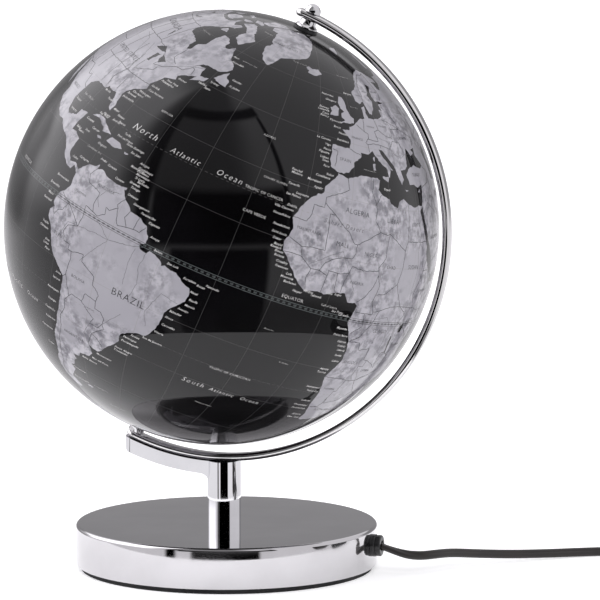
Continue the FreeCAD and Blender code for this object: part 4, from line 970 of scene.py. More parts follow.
def printed_lines(tree):
    """The map's ruled lines: the grid with its dashed circles, the equator's double line, and the seam."""
    lon, lat = map_coordinates(tree)
    width = maths(tree, "MULTIPLY", maths(tree, "COSINE", maths(tree, "MULTIPLY", lat, pi / 180)), GRID_STEP)
    to_meridian = maths(tree, "MULTIPLY", off_grid(tree, lon), width)
    to_parallel = maths(tree, "MULTIPLY", off_grid(tree, lat), GRID_STEP)
    grid = either(tree, below(tree, to_meridian, LINE_HALF, LINE_SOFT),
                  below(tree, to_parallel, LINE_HALF, LINE_SOFT))
    high = maths(tree, "ABSOLUTE", lat)
    dash = maths(tree, "FRACT", maths(tree, "ADD", maths(tree, "DIVIDE", lon, DASH_STEP), 300.0))
    dash = ramp(tree, dash, 0.44, 0.50)
    for circle in (TROPIC, POLAR_CIRCLE):
        line = below(tree, maths(tree, "ABSOLUTE", maths(tree, "SUBTRACT", high, circle)), 0.07, LINE_SOFT)
        grid = either(tree, grid, maths(tree, "MULTIPLY", line, dash))
    rails = below(tree, maths(tree, "ABSOLUTE", maths(tree, "SUBTRACT", high, RAIL_AT)), RAIL_HALF, 0.04)
    blocks = maths(tree, "MULTIPLY", below(tree, high, BLOCK_HALF, 0.05), dash)
    equator = either(tree, rails, maths(tree, "MULTIPLY", blocks, 0.7))
    return grid, equator, below(tree, high, LINE_HALF, LINE_SOFT)


def overprint(shader, colour, *inks):
    """Adds the ruled lines to a ground colour. Each ink is the strength and the colour of one kind."""
    tree = shader.id_data
    for line, (strength, tone) in zip(printed_lines(tree), inks):
        colour = mix_colours(tree, maths(tree, "MULTIPLY", line, strength), colour, tone)
    tree.links.new(colour, shader.inputs["Base Color"])


def lacquered(name):
    """Ink under clear lacquer: the lacquer alone is the mirror."""
    return new_material(name, Roughness=0.5, Specular_IOR_Level=0.05, Coat_Weight=1.0,
                        Coat_Roughness=0.012, Coat_IOR=1.4)


sea, shader = lacquered("sea_print")
tree = sea.node_tree
depth = solid_pattern(shader, in_2=22.0, in_3=5.0)
SEA_DARK, SEA_PALE = (0.0008, 0.0007, 0.0010, 1), (0.0024, 0.0021, 0.0030, 1)
colour = mix_colours(tree, ramp(tree, depth, 0.3, 0.75), SEA_DARK, SEA_PALE)
overprint(shader, colour, (0.16, (0.25, 0.24, 0.24, 1)), (0.30, (0.30, 0.34, 0.34, 1)),
          (1.0, (0.002, 0.002, 0.002, 1)))

land, shader = lacquered("land_print")
tree = land.node_tree
hills = solid_pattern(shader, in_2=210.0, in_3=8.0, in_4=0.62)
regions = solid_pattern(shader, in_2=30.0, in_3=3.0)
colour = mix_colours(tree, ramp(tree, hills, 0.36, 0.62), (0.15, 0.146, 0.165, 1), (0.36, 0.35, 0.38, 1))
colour = mix_colours(tree, ramp(tree, regions, 0.42, 0.60), colour, (0.285, 0.278, 0.305, 1))
overprint(shader, colour, (0.35, (0.15, 0.14, 0.12, 1)), (0.85, (0.03, 0.03, 0.03, 1)),
          (1.0, (0.01, 0.01, 0.01, 1)))

HOLE_STEPS = 48
SHELL_RINGS = 44
NORTH_HOLE_R = 4.55 * MM
SOUTH_HOLE_R = 5.25 * MM


def hemisphere(name, sign, hole_r):
    """One half shell, its outside divided along every coast, so that land and sea are separate faces."""
    hole = degrees(asin(hole_r / GLOBE_R))
    points, outlines = [], []

    def flat(lon, lat):
        """A point of the map on a sheet with the pole in its middle."""
        reach = 90 - sign * lat
        return Vector((reach * cos(radians(lon)), reach * sin(radians(lon))))

    def outline(places):
        """Adds a closed line to the sheet, always the same way round."""
        drawn = [flat(*place) for place in places]
        area = sum(a.x * b.y - b.x * a.y for a, b in zip(drawn, drawn[1:] + drawn[:1]))
        outlines.append(list(range(len(points), len(points) + len(places))))
        points.extend(drawn if area > 0 else drawn[::-1])

    outline([(k, 0) for k in range(360)])
    outline([(k * 360 / HOLE_STEPS, sign * (90 - hole)) for k in range(HOLE_STEPS)])
    for places in coasts.values():
        if max(sign * lat for _, lat in places) > 0:
            outline(wander(places, True))
    first_lake = len(outlines)
    for places in lakes.values():
        if max(sign * lat for _, lat in places) > 0:
            outline(wander(places, True))
    for ring in range(1, SHELL_RINGS):
        latitude = 90 - hole - (90 - hole) * ring / SHELL_RINGS
        count = max(16, round(180 * cos(radians(latitude))))
        points.extend(flat((k + 0.5 * (ring % 2)) * 360 / count, sign * latitude) for k in range(count))
    found, _, faces, _, _, sources = delaunay_2d_cdt(points, [], outlines, 1, 1e-5)
    kept, inks = [], []
    for face, source in zip(faces, sources):
        if 0 in source and 1 not in source:
            kept.append(face)
            wet = any(k >= first_lake for k in source)
            inks.append(1 if not wet and any(1 < k < first_lake for k in source) else 0)
    verts = [on_globe(degrees(atan2(p.y, p.x)), sign * (90 - p.length), GLOBE_R) for p in found]
    kept = [face if (verts[face[1]] - verts[face[0]]).cross(verts[face[2]] - verts[face[0]]).dot(
        verts[face[0]] - CENTRE) > 0 else face[::-1] for face in kept]
    mesh = bpy.data.meshes.new(name)
    mesh.from_pydata(verts, [], kept)
    mesh.materials.append(sea)
    mesh.materials.append(land)
    mesh.polygons.foreach_set("material_index", inks)
    shell = bpy.data.objects.new(name, mesh)
    bpy.context.collection.objects.link(shell)
    edit(shell)
    bpy.ops.mesh.delete_loose()
    close()
    wall = shell.modifiers.new("wall", "SOLIDIFY")
    wall.thickness = SHELL_WALL
    wall.offset = -1
    bpy.ops.object.modifier_apply(modifier=wall.name)
    bpy.ops.object.shade_smooth()
    outward = []
    for vertex in shell.data.vertices:
        away = (vertex.co - CENTRE).normalized()
        outward.append(away if (vertex.co - CENTRE).length > GLOBE_R - SHELL_WALL / 2 else -away)
    shell.data.normals_split_custom_set_from_vertices(outward)
    return shell


for name, sign, hole_r, stands_for in (("northern_shell", 1, NORTH_HOLE_R, "globe_shell_upper"),
                                       ("southern_shell", -1, SOUTH_HOLE_R, "globe_shell_lower")):
    shell = hemisphere(name, sign, hole_r)
    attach(shell, "globe")
    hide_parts(stands_for)


# ---- Printed borders, rivers and names ----
# The finest lines and the lettering of the map: dark ink on the land and pale ink on the sea, under
# the same lacquer. The words are plain geographic names, and the towns are set very small.
PRINT_LIFT = 0.035 * MM
INK_FILM = 0.02 * MM
BORDER_WIDTH = 0.30 * MM
RIVER_WIDTH = 0.20 * MM
TOWN_SIZE = 1.9 * MM
NAME_SLANT = 0.25
WIDE_SET, CLOSE_SET = 1.3, 1.06
THINNED, THICKENED = -0.012, 0.004
borders = [
    [(-51.6, 4.2), (-52.7, 2.3), (-54.5, 2.3), (-56.5, 1.9), (-58.9, 1.3), (-59.9, 2.6), (-60.7, 5.2),
     (-62.8, 3.6), (-64, 4), (-63.4, 2.2), (-65.5, 0.8), (-67.1, 1.2), (-69.8, 1.7), (-69.4, -1),
     (-69.9, -4.2)],
    [(-57.2, 6), (-58, 4), (-56.5, 1.9)], [(-54, 5.8), (-54.4, 4), (-54.5, 2.3)],
    [(-59.8, 8.3), (-61.3, 6), (-60.7, 5.2)],
    [(-71.4, 11.7), (-73, 9.2), (-72, 7.2), (-70.1, 6.9), (-67.5, 6.2), (-67.8, 3), (-67.1, 1.2)],
    [(-78.9, 1.4), (-77, 0.4), (-75.3, -0.1), (-73.6, -1.3), (-72, -2.4), (-69.9, -4.2)],
    [(-75.3, -0.1), (-76.6, -2.6), (-78.3, -3.4), (-79.1, -5), (-80.3, -3.4)],
    [(-69.9, -4.2), (-72.9, -5.2), (-73.9, -7.3), (-72.7, -9.5), (-70.6, -9.6), (-70.6, -11),
     (-69.5, -11), (-69, -12.6), (-69.3, -15), (-69.5, -17.5), (-70.4, -18.4)],
    [(-69.5, -11), (-67.2, -10.3), (-65.3, -10), (-65.2, -11.9), (-62, -13.2), (-60.4, -13.9),
     (-60.2, -16.2), (-58.3, -17.3), (-57.6, -18.2), (-58.1, -20.1), (-57.9, -22.1), (-55.8, -22.3),
     (-54.4, -24), (-54.6, -25.6), (-53.7, -26.8), (-55.8, -28.3), (-57.6, -30.2), (-55.6, -30.8),
     (-53.5, -32.5), (-53.4, -33.7)],
    [(-58.1, -20.1), (-61.8, -19.6), (-62.6, -22.2), (-60, -24), (-57.7, -25.3), (-58.6, -27.2),
     (-56, -27.3), (-54.6, -25.6)],
    [(-62.6, -22.2), (-66.2, -21.8), (-67.2, -22.8), (-68.5, -24.5), (-68.4, -27), (-70, -30),
     (-69.8, -33.5), (-71.2, -38), (-71.7, -43), (-71.8, -46.5), (-73.4, -49.5), (-72, -52),
     (-68.6, -52.3)],
    [(-67.2, -22.8), (-68.5, -20), (-69.5, -17.5)], [(-57.6, -30.2), (-58.2, -32.5), (-58.4, -34)],
    [(-123.2, 49), (-95.2, 49), (-92, 48.3), (-88.5, 48.2), (-84.6, 46.5), (-82.4, 43.5), (-83.1, 42.1),
     (-79, 42.8), (-76.5, 44.1), (-74.7, 45), (-71.4, 45.2), (-69.2, 47.4), (-67.8, 47.1), (-67.2, 45.1)],
    [(-117.1, 32.5), (-111, 31.4), (-106.5, 31.8), (-103.2, 29), (-101, 29.5), (-99.2, 26.5),
     (-97.3, 25.9)],
    [(-141, 69.5), (-141, 60.4), (-137.5, 58.9), (-130.2, 55.9)],
    [(-114, 49), (-111, 44.5), (-111, 41), (-109, 37), (-109, 31.5)],
    [(-104, 49), (-104, 41), (-102, 40), (-103, 37), (-103, 32)],
    [(-96.6, 46), (-96.4, 42.5), (-94.6, 39), (-94.5, 33.5), (-93.8, 30)],
    [(-91, 43), (-90.2, 38.8), (-89.2, 36.8), (-91, 33), (-89.8, 30.4)], [(-120, 42), (-111, 42)],
    [(-109, 37), (-94.6, 37), (-89.4, 36.6), (-76, 36.6)],
    [(-87.6, 41.6), (-87.7, 38), (-84.8, 39), (-80.6, 40.6), (-80.5, 42)], [(-85.3, 35), (-85, 31)],
    [(-110, 60), (-110, 49)], [(-102, 60), (-101.5, 49)], [(-94.8, 58.6), (-95.1, 49.2)],
    [(-139, 60), (-94.8, 60)], [(-79.6, 51.4), (-79.5, 47), (-76, 45.5)],
    [(-2.2, 35.1), (-1.2, 32.3), (-3.6, 31), (-8.7, 28.7), (-8.7, 26), (-12, 26), (-12, 23.4),
     (-13, 21.3), (-17, 21.3)],
    [(-8.7, 27.3), (-4.8, 25), (1.2, 21.1), (3.2, 19.1), (4.2, 19.1), (7.5, 20.9), (12, 23.5),
     (9.5, 26.2), (9.9, 28.5), (9.5, 30.2), (7.6, 33.2), (8.3, 36.8)],
    [(9.5, 30.2), (11.5, 33)], [(12, 23.5), (15, 23), (16, 23.4), (24, 19.5)],
    [(25, 31.5), (25, 22), (36.8, 22)], [(25, 22), (24, 20), (24, 15.7), (22.9, 11)],
    [(-4.8, 25), (-6.5, 24.9), (-5.5, 15.5), (-9.3, 15.5), (-12.2, 14.8), (-16.4, 16.2)],
    [(4.2, 19.1), (4.2, 16.8), (3.5, 15.4), (0.2, 15), (-2, 14.2), (-4.3, 12.8), (-5.5, 10.4)],
    [(-12.2, 14.8), (-11.4, 12.4), (-13.7, 12.6), (-16.6, 12.4)],
    [(-11.4, 12.4), (-8, 10.2), (-8.5, 7.5), (-7.5, 4.6)],
    [(-8, 10.2), (-5.5, 10.4), (-2.8, 9.6), (-3.1, 5.2)],
    [(-2.8, 9.6), (-2.8, 11), (0.9, 10.9), (3.6, 11.7), (4.1, 13.5), (8, 13), (13.6, 13.7)],
    [(0.2, 11), (0.5, 7), (1.2, 6.2)], [(2.7, 6.5), (2.8, 9), (3.6, 11.7)],
    [(16, 23.4), (15.5, 21), (15.5, 17), (13.5, 14.4), (14.1, 12.5), (13.2, 9.5), (11.2, 6.5), (8.8, 4.8)],
    [(14.1, 12.5), (15.5, 10), (15, 7.5), (18.6, 8), (22.9, 11), (24.2, 8.7), (27.4, 5), (22.9, 4.8),
     (18.6, 3.5), (16.2, 3), (14.5, 5.5), (15, 7.5)],
    [(9.8, 2.3), (13.3, 2.2), (16.2, 2.2), (16.2, 3)],
    [(18.6, 3.5), (17.7, -0.5), (16.2, -2.2), (15.3, -4.3), (12.4, -5.8)],
    [(13.3, 2.2), (14.4, -1.3), (11.3, -3.8)],
    [(12.6, -6), (16.6, -5.9), (17.5, -8), (21.8, -7.3), (22.3, -10.8), (24, -11), (27.2, -12),
     (29.8, -13.4), (28.5, -10), (28.9, -8.5), (30.7, -8.3), (29.4, -5.5), (29.2, -2.5), (29.6, 0.5),
     (31.2, 2.2), (30.8, 3.5), (27.4, 5)],
    [(11.9, -17.3), (14.2, -17.4), (18.5, -17.4), (21.4, -17.9), (25.3, -17.8), (29.4, -22.2),
     (25.6, -25.6), (20.7, -26.8), (20, -24.8)],
    [(24, -11), (24, -13), (22, -13), (22, -16.2), (23.4, -17.6)],
    [(21, -18), (21, -22), (20, -22), (20, -28.4), (16.6, -28.6)],
    [(25.3, -17.8), (28.9, -16), (30.4, -15.6), (33.2, -14), (32.9, -9.4), (30.7, -8.3)],
    [(29.4, -22.2), (31.3, -22.4), (32, -26.8)], [(29.6, 0.5), (33.9, -1), (37.6, -3), (39.1, -4.7)],
    [(36, 4.4), (39.5, 3.4), (41.9, 3.9), (41.6, -1.6)],
    [(27.4, 5), (36, 4.4), (33, 8), (36.5, 14.3), (38.4, 18)], [(43, 11.2), (40, 14.5), (36.5, 14.3)],
    [(41.9, 3.9), (47.9, 8), (42.9, 10.9)], [(-8.8, 41.9), (-6.7, 41.6), (-7, 39), (-7.4, 37.3)],
    [(-1.8, 43.3), (0.7, 42.7), (3.1, 42.4)],
    [(7.5, 43.8), (7, 45.9), (6, 46.4), (7.6, 47.6), (8.2, 49), (6.2, 49.5), (2.6, 51)],
    [(6.2, 49.5), (7, 53.2)], [(7.6, 47.6), (13, 47.5), (12.2, 50.3), (15, 51), (14.2, 53.8)],
    [(7, 45.9), (10.5, 46.6), (13.7, 46.5), (13.7, 45.7)],
    [(15, 51), (18.8, 49.5), (22.8, 49.1), (24, 51.8), (23.5, 54), (19.7, 54.4)],
    [(13.7, 46.5), (19, 45.9), (22, 48.2), (26.7, 48.2), (28.2, 45.5)],
    [(11.2, 59.1), (12.2, 61.5), (12.2, 63.6), (14.5, 66.1), (20.5, 69), (25.6, 69), (29, 69.8)],
    [(27.8, 60.6), (31.3, 62.8), (29.5, 66.5), (29, 69.7)],
    [(23.5, 54), (31, 52), (35, 51), (40, 49.5), (38.2, 47.2)], [(24, 51.8), (31, 52)],
    [(28, 57), (31, 54), (31, 52)],
    [(49, 46.6), (47, 50), (55, 51), (61.5, 51), (61, 54), (71, 54.2), (77.8, 53.3), (87.3, 49.1),
     (98, 50), (107, 49.7), (116.7, 49.8), (120, 53), (127.5, 50), (131, 47.7), (134.8, 48.4), (131, 43)],
    [(87.3, 49.1), (80.2, 42.2), (74, 39.5), (78, 35.5), (79, 31), (88, 27.9), (97.3, 28.3), (98.7, 24),
     (101.5, 21.2), (108, 21.6)],
    [(87.3, 49.1), (95, 43), (105, 41.7), (112, 44), (116.7, 49.8)],
    [(78, 35.5), (74.5, 31), (70, 28), (68.3, 23.8)], [(44.8, 39.7), (44.5, 37), (46, 33), (48, 30.1)],
    [(61.7, 25.4), (60.9, 29.9), (61.2, 35.6), (53.9, 37.4)],
    [(36.1, 36.1), (42.4, 37.1), (44.8, 39.7), (41.6, 41.5)],
    [(35, 29.4), (39.2, 32), (46.5, 29.1), (48.4, 28.6)],
    [(43, 16.6), (48, 18), (52, 19), (55, 22.5), (56, 24.4)], [(129, -14.9), (129, -31.6)],
    [(129, -26), (141, -26), (141, -38)], [(138, -16.6), (138, -26)],
]
rivers = [
    [(-50.2, -0.6), (-55, -2.2), (-60, -3.2), (-65, -3.4), (-70, -4), (-73.5, -4.6), (-75.5, -10)],
    [(-48.9, -1.8), (-49.5, -6), (-48.3, -10), (-49.5, -15)], [(-52, -1.8), (-52.5, -6), (-52, -12)],
    [(-60, -3.2), (-63, -1), (-66.5, 0.5)], [(-60, -3.4), (-64, -9), (-66, -12)],
    [(-58.5, -33.8), (-60.5, -31), (-58.8, -27.4), (-54.6, -25.5), (-50, -20)],
    [(-61.5, 8.8), (-66, 7.6), (-67.5, 5), (-66, 3)],
    [(-89.6, 29.5), (-91.2, 33), (-89.5, 37), (-90.5, 41), (-93, 45), (-95, 47)],
    [(-90.2, 38.8), (-96, 41.5), (-101, 47), (-108, 48)], [(-64.9, 49), (-71, 47), (-76, 44.2)],
    [(-134.8, 69), (-128, 65.5), (-121, 61.5), (-114, 61)],
    [(-42.5, -20), (-44, -16), (-41.5, -9.6), (-36.6, -10.4)],
    [(31.2, 31.3), (31, 27), (32.8, 24), (31.5, 19.5), (32.5, 15.6), (31.5, 9.5), (31.5, 3), (33, 0.5)],
    [(6.2, 4.5), (6.5, 8), (3, 12.5), (0, 16.6), (-4, 14.5), (-9, 11)],
    [(12.6, -6), (16, -3.5), (18, 1), (23, 2), (25.3, 0), (26.5, -6), (26, -10)],
    [(16.6, -28.7), (20, -28.6), (25, -30)], [(36, -18.6), (30.5, -15.8), (25.5, -17.8), (22.8, -14)],
    [(29.6, 45.2), (25, 43.8), (20, 45), (18.8, 48), (12, 48.8)],
    [(48, 46), (45, 49), (49, 54), (44, 56.2), (36, 57)], [(66.6, 66.6), (68, 61), (76, 60), (83, 54)],
    [(126, 72), (127, 66), (130, 62), (118, 59.5), (108, 55)],
    [(121.5, 31.8), (114, 30.2), (106, 29.5), (99, 27), (95, 33)], [(89, 22.5), (84, 25.5), (78, 29)],
]
sea_names = [
    ("North", -69.8, 24.6, 17.7), ("Atlantic", -55.6, 24.0, 18.9), ("Ocean", -41.2, 24.0, 15.5),
    ("TROPIC OF CANCER", -32.4, 23.9, 22.5), ("CAPE VERDE", -30.6, 18.2, 13.5),
    ("EQUATOR", -12.9, 1.2, 13.5), ("South", -27.4, -31.5, 13), ("Atlantic", -18.6, -31.5, 15),
    ("Ocean", -8.4, -31.5, 12), ("Labrador Sea", -55.5, 57.2, 9), ("Hudson Bay", -90, 59.5, 8),
    ("Gulf of Mexico", -95, 24.6, 12), ("Caribbean Sea", -79, 14.6, 12), ("Gulf of Guinea", -1.5, 1.9, 11),
    ("CANARY ISLANDS", -28.5, 28.1, 14), ("AZORES", -33, 38.6, 7), ("BERMUDA", -65.5, 32.2, 8),
    ("Denmark Strait", -33, 66, 8), ("Norwegian Sea", -2, 66.5, 8), ("Mediterranean Sea", 4, 38.6, 9),
    ("North Sea", 0.8, 56.2, 5.5), ("TROPIC OF CAPRICORN", -22, -24.3, 25), ("Ascension", -13.6, -8.2, 6),
    ("St Helena", -5, -16.2, 6), ("Tristan da Cunha", -20, -37.6, 10), ("Falkland Islands", -57, -50.4, 9),
    ("Scotia Sea", -50, -57, 9), ("EQUATOR", -104, 1.2, 13.5), ("EQUATOR", 62, 1.2, 13.5),
    ("South", -112, -31, 15), ("Pacific", -100, -31, 17), ("Ocean", -87.5, -31, 12),
    ("North", -178, 30, 17), ("Pacific", -166, 30, 19), ("Ocean", -153, 30, 15), ("Indian", 68, -21, 17),
    ("Ocean", 79, -21, 15), ("Arabian Sea", 60, 15, 12), ("Bay of Bengal", 84, 13, 12),
    ("Coral Sea", 152, -15, 10), ("Tasman Sea", 156, -36, 11), ("Philippine Sea", 130, 18, 12),
    ("Arctic Ocean", 150, 81, 16), ("Bering Sea", 172, 57.5, 9), ("Southern Ocean", 40, -55, 16),
    ("Southern Ocean", -140, -58, 16), ("South", -172, -25, 15), ("Pacific", -160, -25, 17),
    ("Ocean", -147.5, -25, 13), ("Baffin Bay", -68, 73, 6),
]
land_names = [
    ("BRAZIL", -54.4, -15.8, 21), ("ARGENTINA", -68.6, -34.5, 15), ("PERU", -77, -9.4, 7),
    ("BOLIVIA", -67.5, -17.2, 10), ("CHILE", -71.5, -29, 5), ("COLOMBIA", -75.6, 3.4, 10),
    ("VENEZUELA", -69.5, 7.6, 13), ("PARAGUAY", -61, -23.2, 6.5), ("CANADA", -118, 54, 26),
    ("UNITED STATES", -109, 39.6, 32), ("MEXICO", -105.5, 24.2, 11), ("GREENLAND", -53, 70.5, 15),
    ("ALASKA", -157, 65, 11), ("ALGERIA", -1.8, 26.4, 17), ("LIBYA", 14.3, 26.2, 10.5),
    ("MAURITANIA", -15.2, 18.8, 15), ("MALI", -2.8, 17.6, 8), ("NIGER", 7.2, 16.8, 10),
    ("CHAD", 16.6, 14.6, 8), ("SUDAN", 26.6, 15, 12), ("EGYPT", 27, 26, 9), ("NIGERIA", 4.8, 9.2, 10),
    ("CONGO", 19.4, -2.6, 13), ("ANGOLA", 14.6, -12.4, 13), ("NAMIBIA", 15, -21.6, 9),
    ("ZAMBIA", 24.4, -14.6, 9), ("SOUTH AFRICA", 20, -30, 18), ("ETHIOPIA", 36.4, 8.6, 11),
    ("KENYA", 36, 0.8, 6), ("TANZANIA", 32.2, -6.4, 10), ("MADAGASCAR", 44.6, -19.6, 9),
    ("Sahara Desert", -8, 22.4, 27), ("SPAIN", -5.8, 39.4, 7.5), ("FRANCE", -0.6, 46.6, 8),
    ("GERMANY", 8.2, 51.2, 6.5), ("ITALY", 10.6, 43.2, 4), ("POLAND", 16.2, 52, 7),
    ("NORWAY", 7.4, 60.8, 4.5), ("SWEDEN", 13.6, 62.6, 5), ("FINLAND", 23.5, 63, 6),
    ("UKRAINE", 27.5, 49, 11), ("TURKEY", 30.5, 39, 11), ("RUSSIA", 62, 61, 42), ("KAZAKHSTAN", 57, 48, 22),
    ("CHINA", 92, 34, 32), ("MONGOLIA", 95, 46.4, 18), ("INDIA", 74, 22, 17), ("IRAN", 50.5, 32.4, 13),
    ("SAUDI ARABIA", 40.6, 22.4, 17), ("AUSTRALIA", 120, -25, 42), ("BORNEO", 111.6, 0.6, 8),
    ("ANTARCTICA", -10, -80, 22), ("IRAQ", 42, 33, 6),
]
towns_east = [
    ("Recife", -34.4, -8.3), ("Natal", -34.9, -6.2), ("Fortaleza", -37.8, -3.6), ("Salvador", -37.9, -13.2),
    ("Maceio", -34.9, -10), ("Vitoria", -39.8, -20.4), ("Rio de Janeiro", -42.2, -23.6),
    ("Santos", -45.6, -24.6), ("Porto Alegre", -49.4, -30.4), ("Montevideo", -55.2, -36),
    ("Florianopolis", -47.9, -27.4), ("Belem", -47.4, -0.2), ("Cayenne", -51.5, 5.4),
    ("Paramaribo", -54.4, 6.7), ("Georgetown", -57.4, 7.9), ("Caracas", -65.6, 11.4), ("Miami", -79.6, 26),
    ("Savannah", -80.2, 31.6), ("Wilmington", -77.2, 33.6), ("Norfolk", -75.2, 36.6),
    ("Philadelphia", -73.9, 39.2), ("New York", -72.4, 40.1), ("Boston", -69.6, 42.2),
    ("Halifax", -62.6, 44.2), ("St Johns", -52.2, 47.4), ("Havana", -81.6, 23.7), ("Nassau", -76.8, 25.2),
    ("San Juan", -65.4, 18.9), ("Guadeloupe", -61, 16.4), ("Martinique", -60.6, 14.8),
    ("Barbados", -59.2, 13.2), ("Bahia Blanca", -61, -40), ("Mar del Plata", -56.8, -38.4),
    ("Nain", -60.8, 57), ("Hopedale", -59.2, 55.2), ("Gander", -52.9, 49.6), ("Santo Domingo", -68, 20.2),
    ("Tobago", -60.2, 11.3), ("Sao Luis", -43, -1.8), ("Tripoli", 12.6, 34.4), ("Comodoro", -66.6, -46.6),
    ("Rio Gallegos", -67.6, -50.9), ("Aracaju", -36.2, -11.6), ("Ilheus", -38.4, -15.2),
    ("Kingston", -76.4, 16.6), ("Port au Prince", -72.2, 20.9), ("Turks", -70.6, 22.2),
    ("Andros", -77.2, 23.6), ("Exuma", -74.8, 23.9), ("Antigua", -61.2, 17.6), ("Montserrat", -63.2, 15.9),
    ("Dominica", -60.8, 15.6), ("St Lucia", -60.4, 13.9), ("Grenada", -61.2, 12.3),
    ("Curacao", -69.6, 13.2), ("Aruba", -72.6, 13.6), ("Cartagena", -79.4, 11.2), ("Colon", -81.8, 10.2),
    ("Belize", -87.4, 17), ("Cozumel", -86, 20.2), ("Roatan", -85.8, 16.5), ("Swan", -83.4, 17.6),
    ("Key West", -83, 23.2), ("Tampa", -84.8, 27.4), ("Mobile", -88.6, 28.8), ("Veracruz", -95.4, 19.6),
    ("Tampico", -97, 22.4), ("Jacksonville", -80.6, 30.2), ("Charleston", -79, 32.6),
    ("Cape Hatteras", -74.8, 35.2), ("Sable", -59.4, 43.6), ("Sydney", -59.2, 46), ("Cayman", -81.6, 19),
    ("Orinoco", -60, 9.3), ("Amapa", -49.6, 2.4), ("Rocas", -34, -4), ("Fernando", -31.8, -3.2),
    ("Caravelas", -38.6, -17.6), ("Paranagua", -47.6, -26), ("Tramandai", -49.6, -31.4),
]
towns_west = [
    ("Casablanca", -8.6, 33.4), ("Rabat", -7.4, 34.4), ("Agadir", -10.4, 30.2), ("Dakar", -18.2, 14.5),
    ("Banjul", -17.4, 13.2), ("Bissau", -16.6, 11.6), ("Conakry", -14.4, 9.3), ("Freetown", -13.9, 8.1),
    ("Monrovia", -11.6, 6), ("Abidjan", -5, 4.2), ("Takoradi", -2.2, 3.6), ("Luanda", 12.5, -9),
    ("Lobito", 12.8, -12.4), ("Walvis Bay", 13.8, -23), ("Cape Town", 17.6, -34), ("Nouakchott", -17, 17.9),
    ("Nouadhibou", -17.8, 20.6), ("Dakhla", -16.8, 23.5), ("Lisbon", -10, 38.6), ("Porto", -9.4, 41),
    ("Vigo", -9.6, 42.4), ("Brest", -5.6, 48.3), ("Nantes", -2.6, 46.8), ("Cork", -10.8, 51.4),
    ("Galway", -10.8, 53.2), ("Glasgow", -6.6, 56.2), ("Lima", -78, -12.2), ("Guayaquil", -81.6, -2.7),
    ("Trujillo", -80, -8.3), ("Arica", -71.2, -18.6), ("Antofagasta", -71.2, -23.8),
    ("Valparaiso", -72.5, -33.2), ("Concepcion", -74.3, -37), ("Bergen", 4, 60.3), ("Libreville", 8.2, 0.5),
    ("Pointe Noire", 10.9, -4.9), ("Cabinda", 11.4, -6.6), ("Namibe", 11.2, -15.3),
    ("Swakopmund", 13.4, -21.6), ("Luderitz", 14.2, -26.7), ("Marrakech", -11.2, 31.7),
    ("Laayoune", -14.2, 27.1), ("Funchal", -17.8, 32.7), ("Figueira", -10, 40), ("Sines", -9.8, 37.8),
    ("Faro", -9.4, 36.4), ("La Coruna", -9.8, 43.8), ("Bordeaux", -2, 44.8), ("Plymouth", -5, 50),
    ("Limerick", -10.6, 52.4), ("Bantry", -10.8, 50.6), ("Hebrides", -8, 57.8), ("Madeira", -17.6, 31.9),
    ("Tenerife", -17.6, 28.9), ("Las Palmas", -16.4, 26.2), ("Villa Cisneros", -17.4, 22.4),
    ("Saint Louis", -17.2, 16), ("Kaolack", -17.4, 12.4), ("Bolama", -16, 10.6), ("Lofa", -12.4, 7),
    ("Buchanan", -10.4, 5), ("Harper", -8, 3.4), ("Lome", 0.6, 5.2), ("Lagos", 3.4, 5.4),
    ("Sao Tome", 6, 1), ("Mayumba", 9.6, -3), ("Ambriz", 12, -7.8), ("Sumbe", 12.6, -10.6),
    ("Tombua", 11, -16.4), ("Oranjemund", 15, -28.6), ("Port Nolloth", 15.6, -30),
    ("Saldanha", 16.8, -32.6), ("Callao", -78, -13.2), ("Pisco", -77.2, -14.4), ("Chimbote", -79.6, -9.6),
    ("Iquique", -71.2, -20.4), ("Copiapo", -72, -27.2), ("Coquimbo", -72.4, -30.2),
    ("Chiloe", -75.4, -42.6), ("Buenaventura", -78.6, 4.2), ("Esmeraldas", -80.8, 1.6), ("Manta", -82, -1),
]


def lay_on_globe(piece, height):
    """Wraps a sheet drawn in degrees round the globe, and turns it into a closed film of ink."""
    for vertex in piece.data.vertices:
        vertex.co = on_globe(vertex.co.x, vertex.co.y, GLOBE_R + height)
    edit(piece)
    bpy.ops.mesh.remove_doubles(threshold=0.000001)
    close()
    for face in piece.data.polygons:
        if face.normal.dot(face.center - CENTRE) < 0:
            face.flip()
    film = piece.modifiers.new("film", "SOLIDIFY")
    film.thickness = INK_FILM
    film.offset = -1
    bpy.ops.object.modifier_apply(modifier=film.name)
    bpy.ops.object.shade_smooth()
    outward = [(v.co - CENTRE).normalized() for v in piece.data.vertices]
    piece.data.normals_split_custom_set_from_vertices(outward)


def sheet_object(name, verts, faces):
    """A flat drawing in degrees of longitude and latitude."""
    mesh = bpy.data.meshes.new(name)
    mesh.from_pydata([(x, y, 0) for x, y in verts], [], faces)
    made = bpy.data.objects.new(name, mesh)
    bpy.context.collection.objects.link(made)
    return made


def ruled(name, lines, width, height):
    """Lines of an even width, from their points."""
    half_width = degrees(width / 2 / GLOBE_R)
    verts, faces = [], []
    for line in lines:
        points = wander(line, False, 0.7, 0.22)
        first = len(verts)
        for k, (lon, lat) in enumerate(points):
            before, after = points[max(k - 1, 0)], points[min(k + 1, len(points) - 1)]
            shrink = max(0.05, cos(radians(lat)))
            across = Vector((before[1] - after[1], (after[0] - before[0]) * shrink)).normalized() * half_width
            verts.append((lon + across.x / shrink, lat + across.y))
            verts.append((lon - across.x / shrink, lat - across.y))
        for k in range(first, len(verts) - 3, 2):
            faces.append((k, k + 1, k + 3, k + 2))
    made = sheet_object(name, verts, faces)
    lay_on_globe(made, height)
    return made


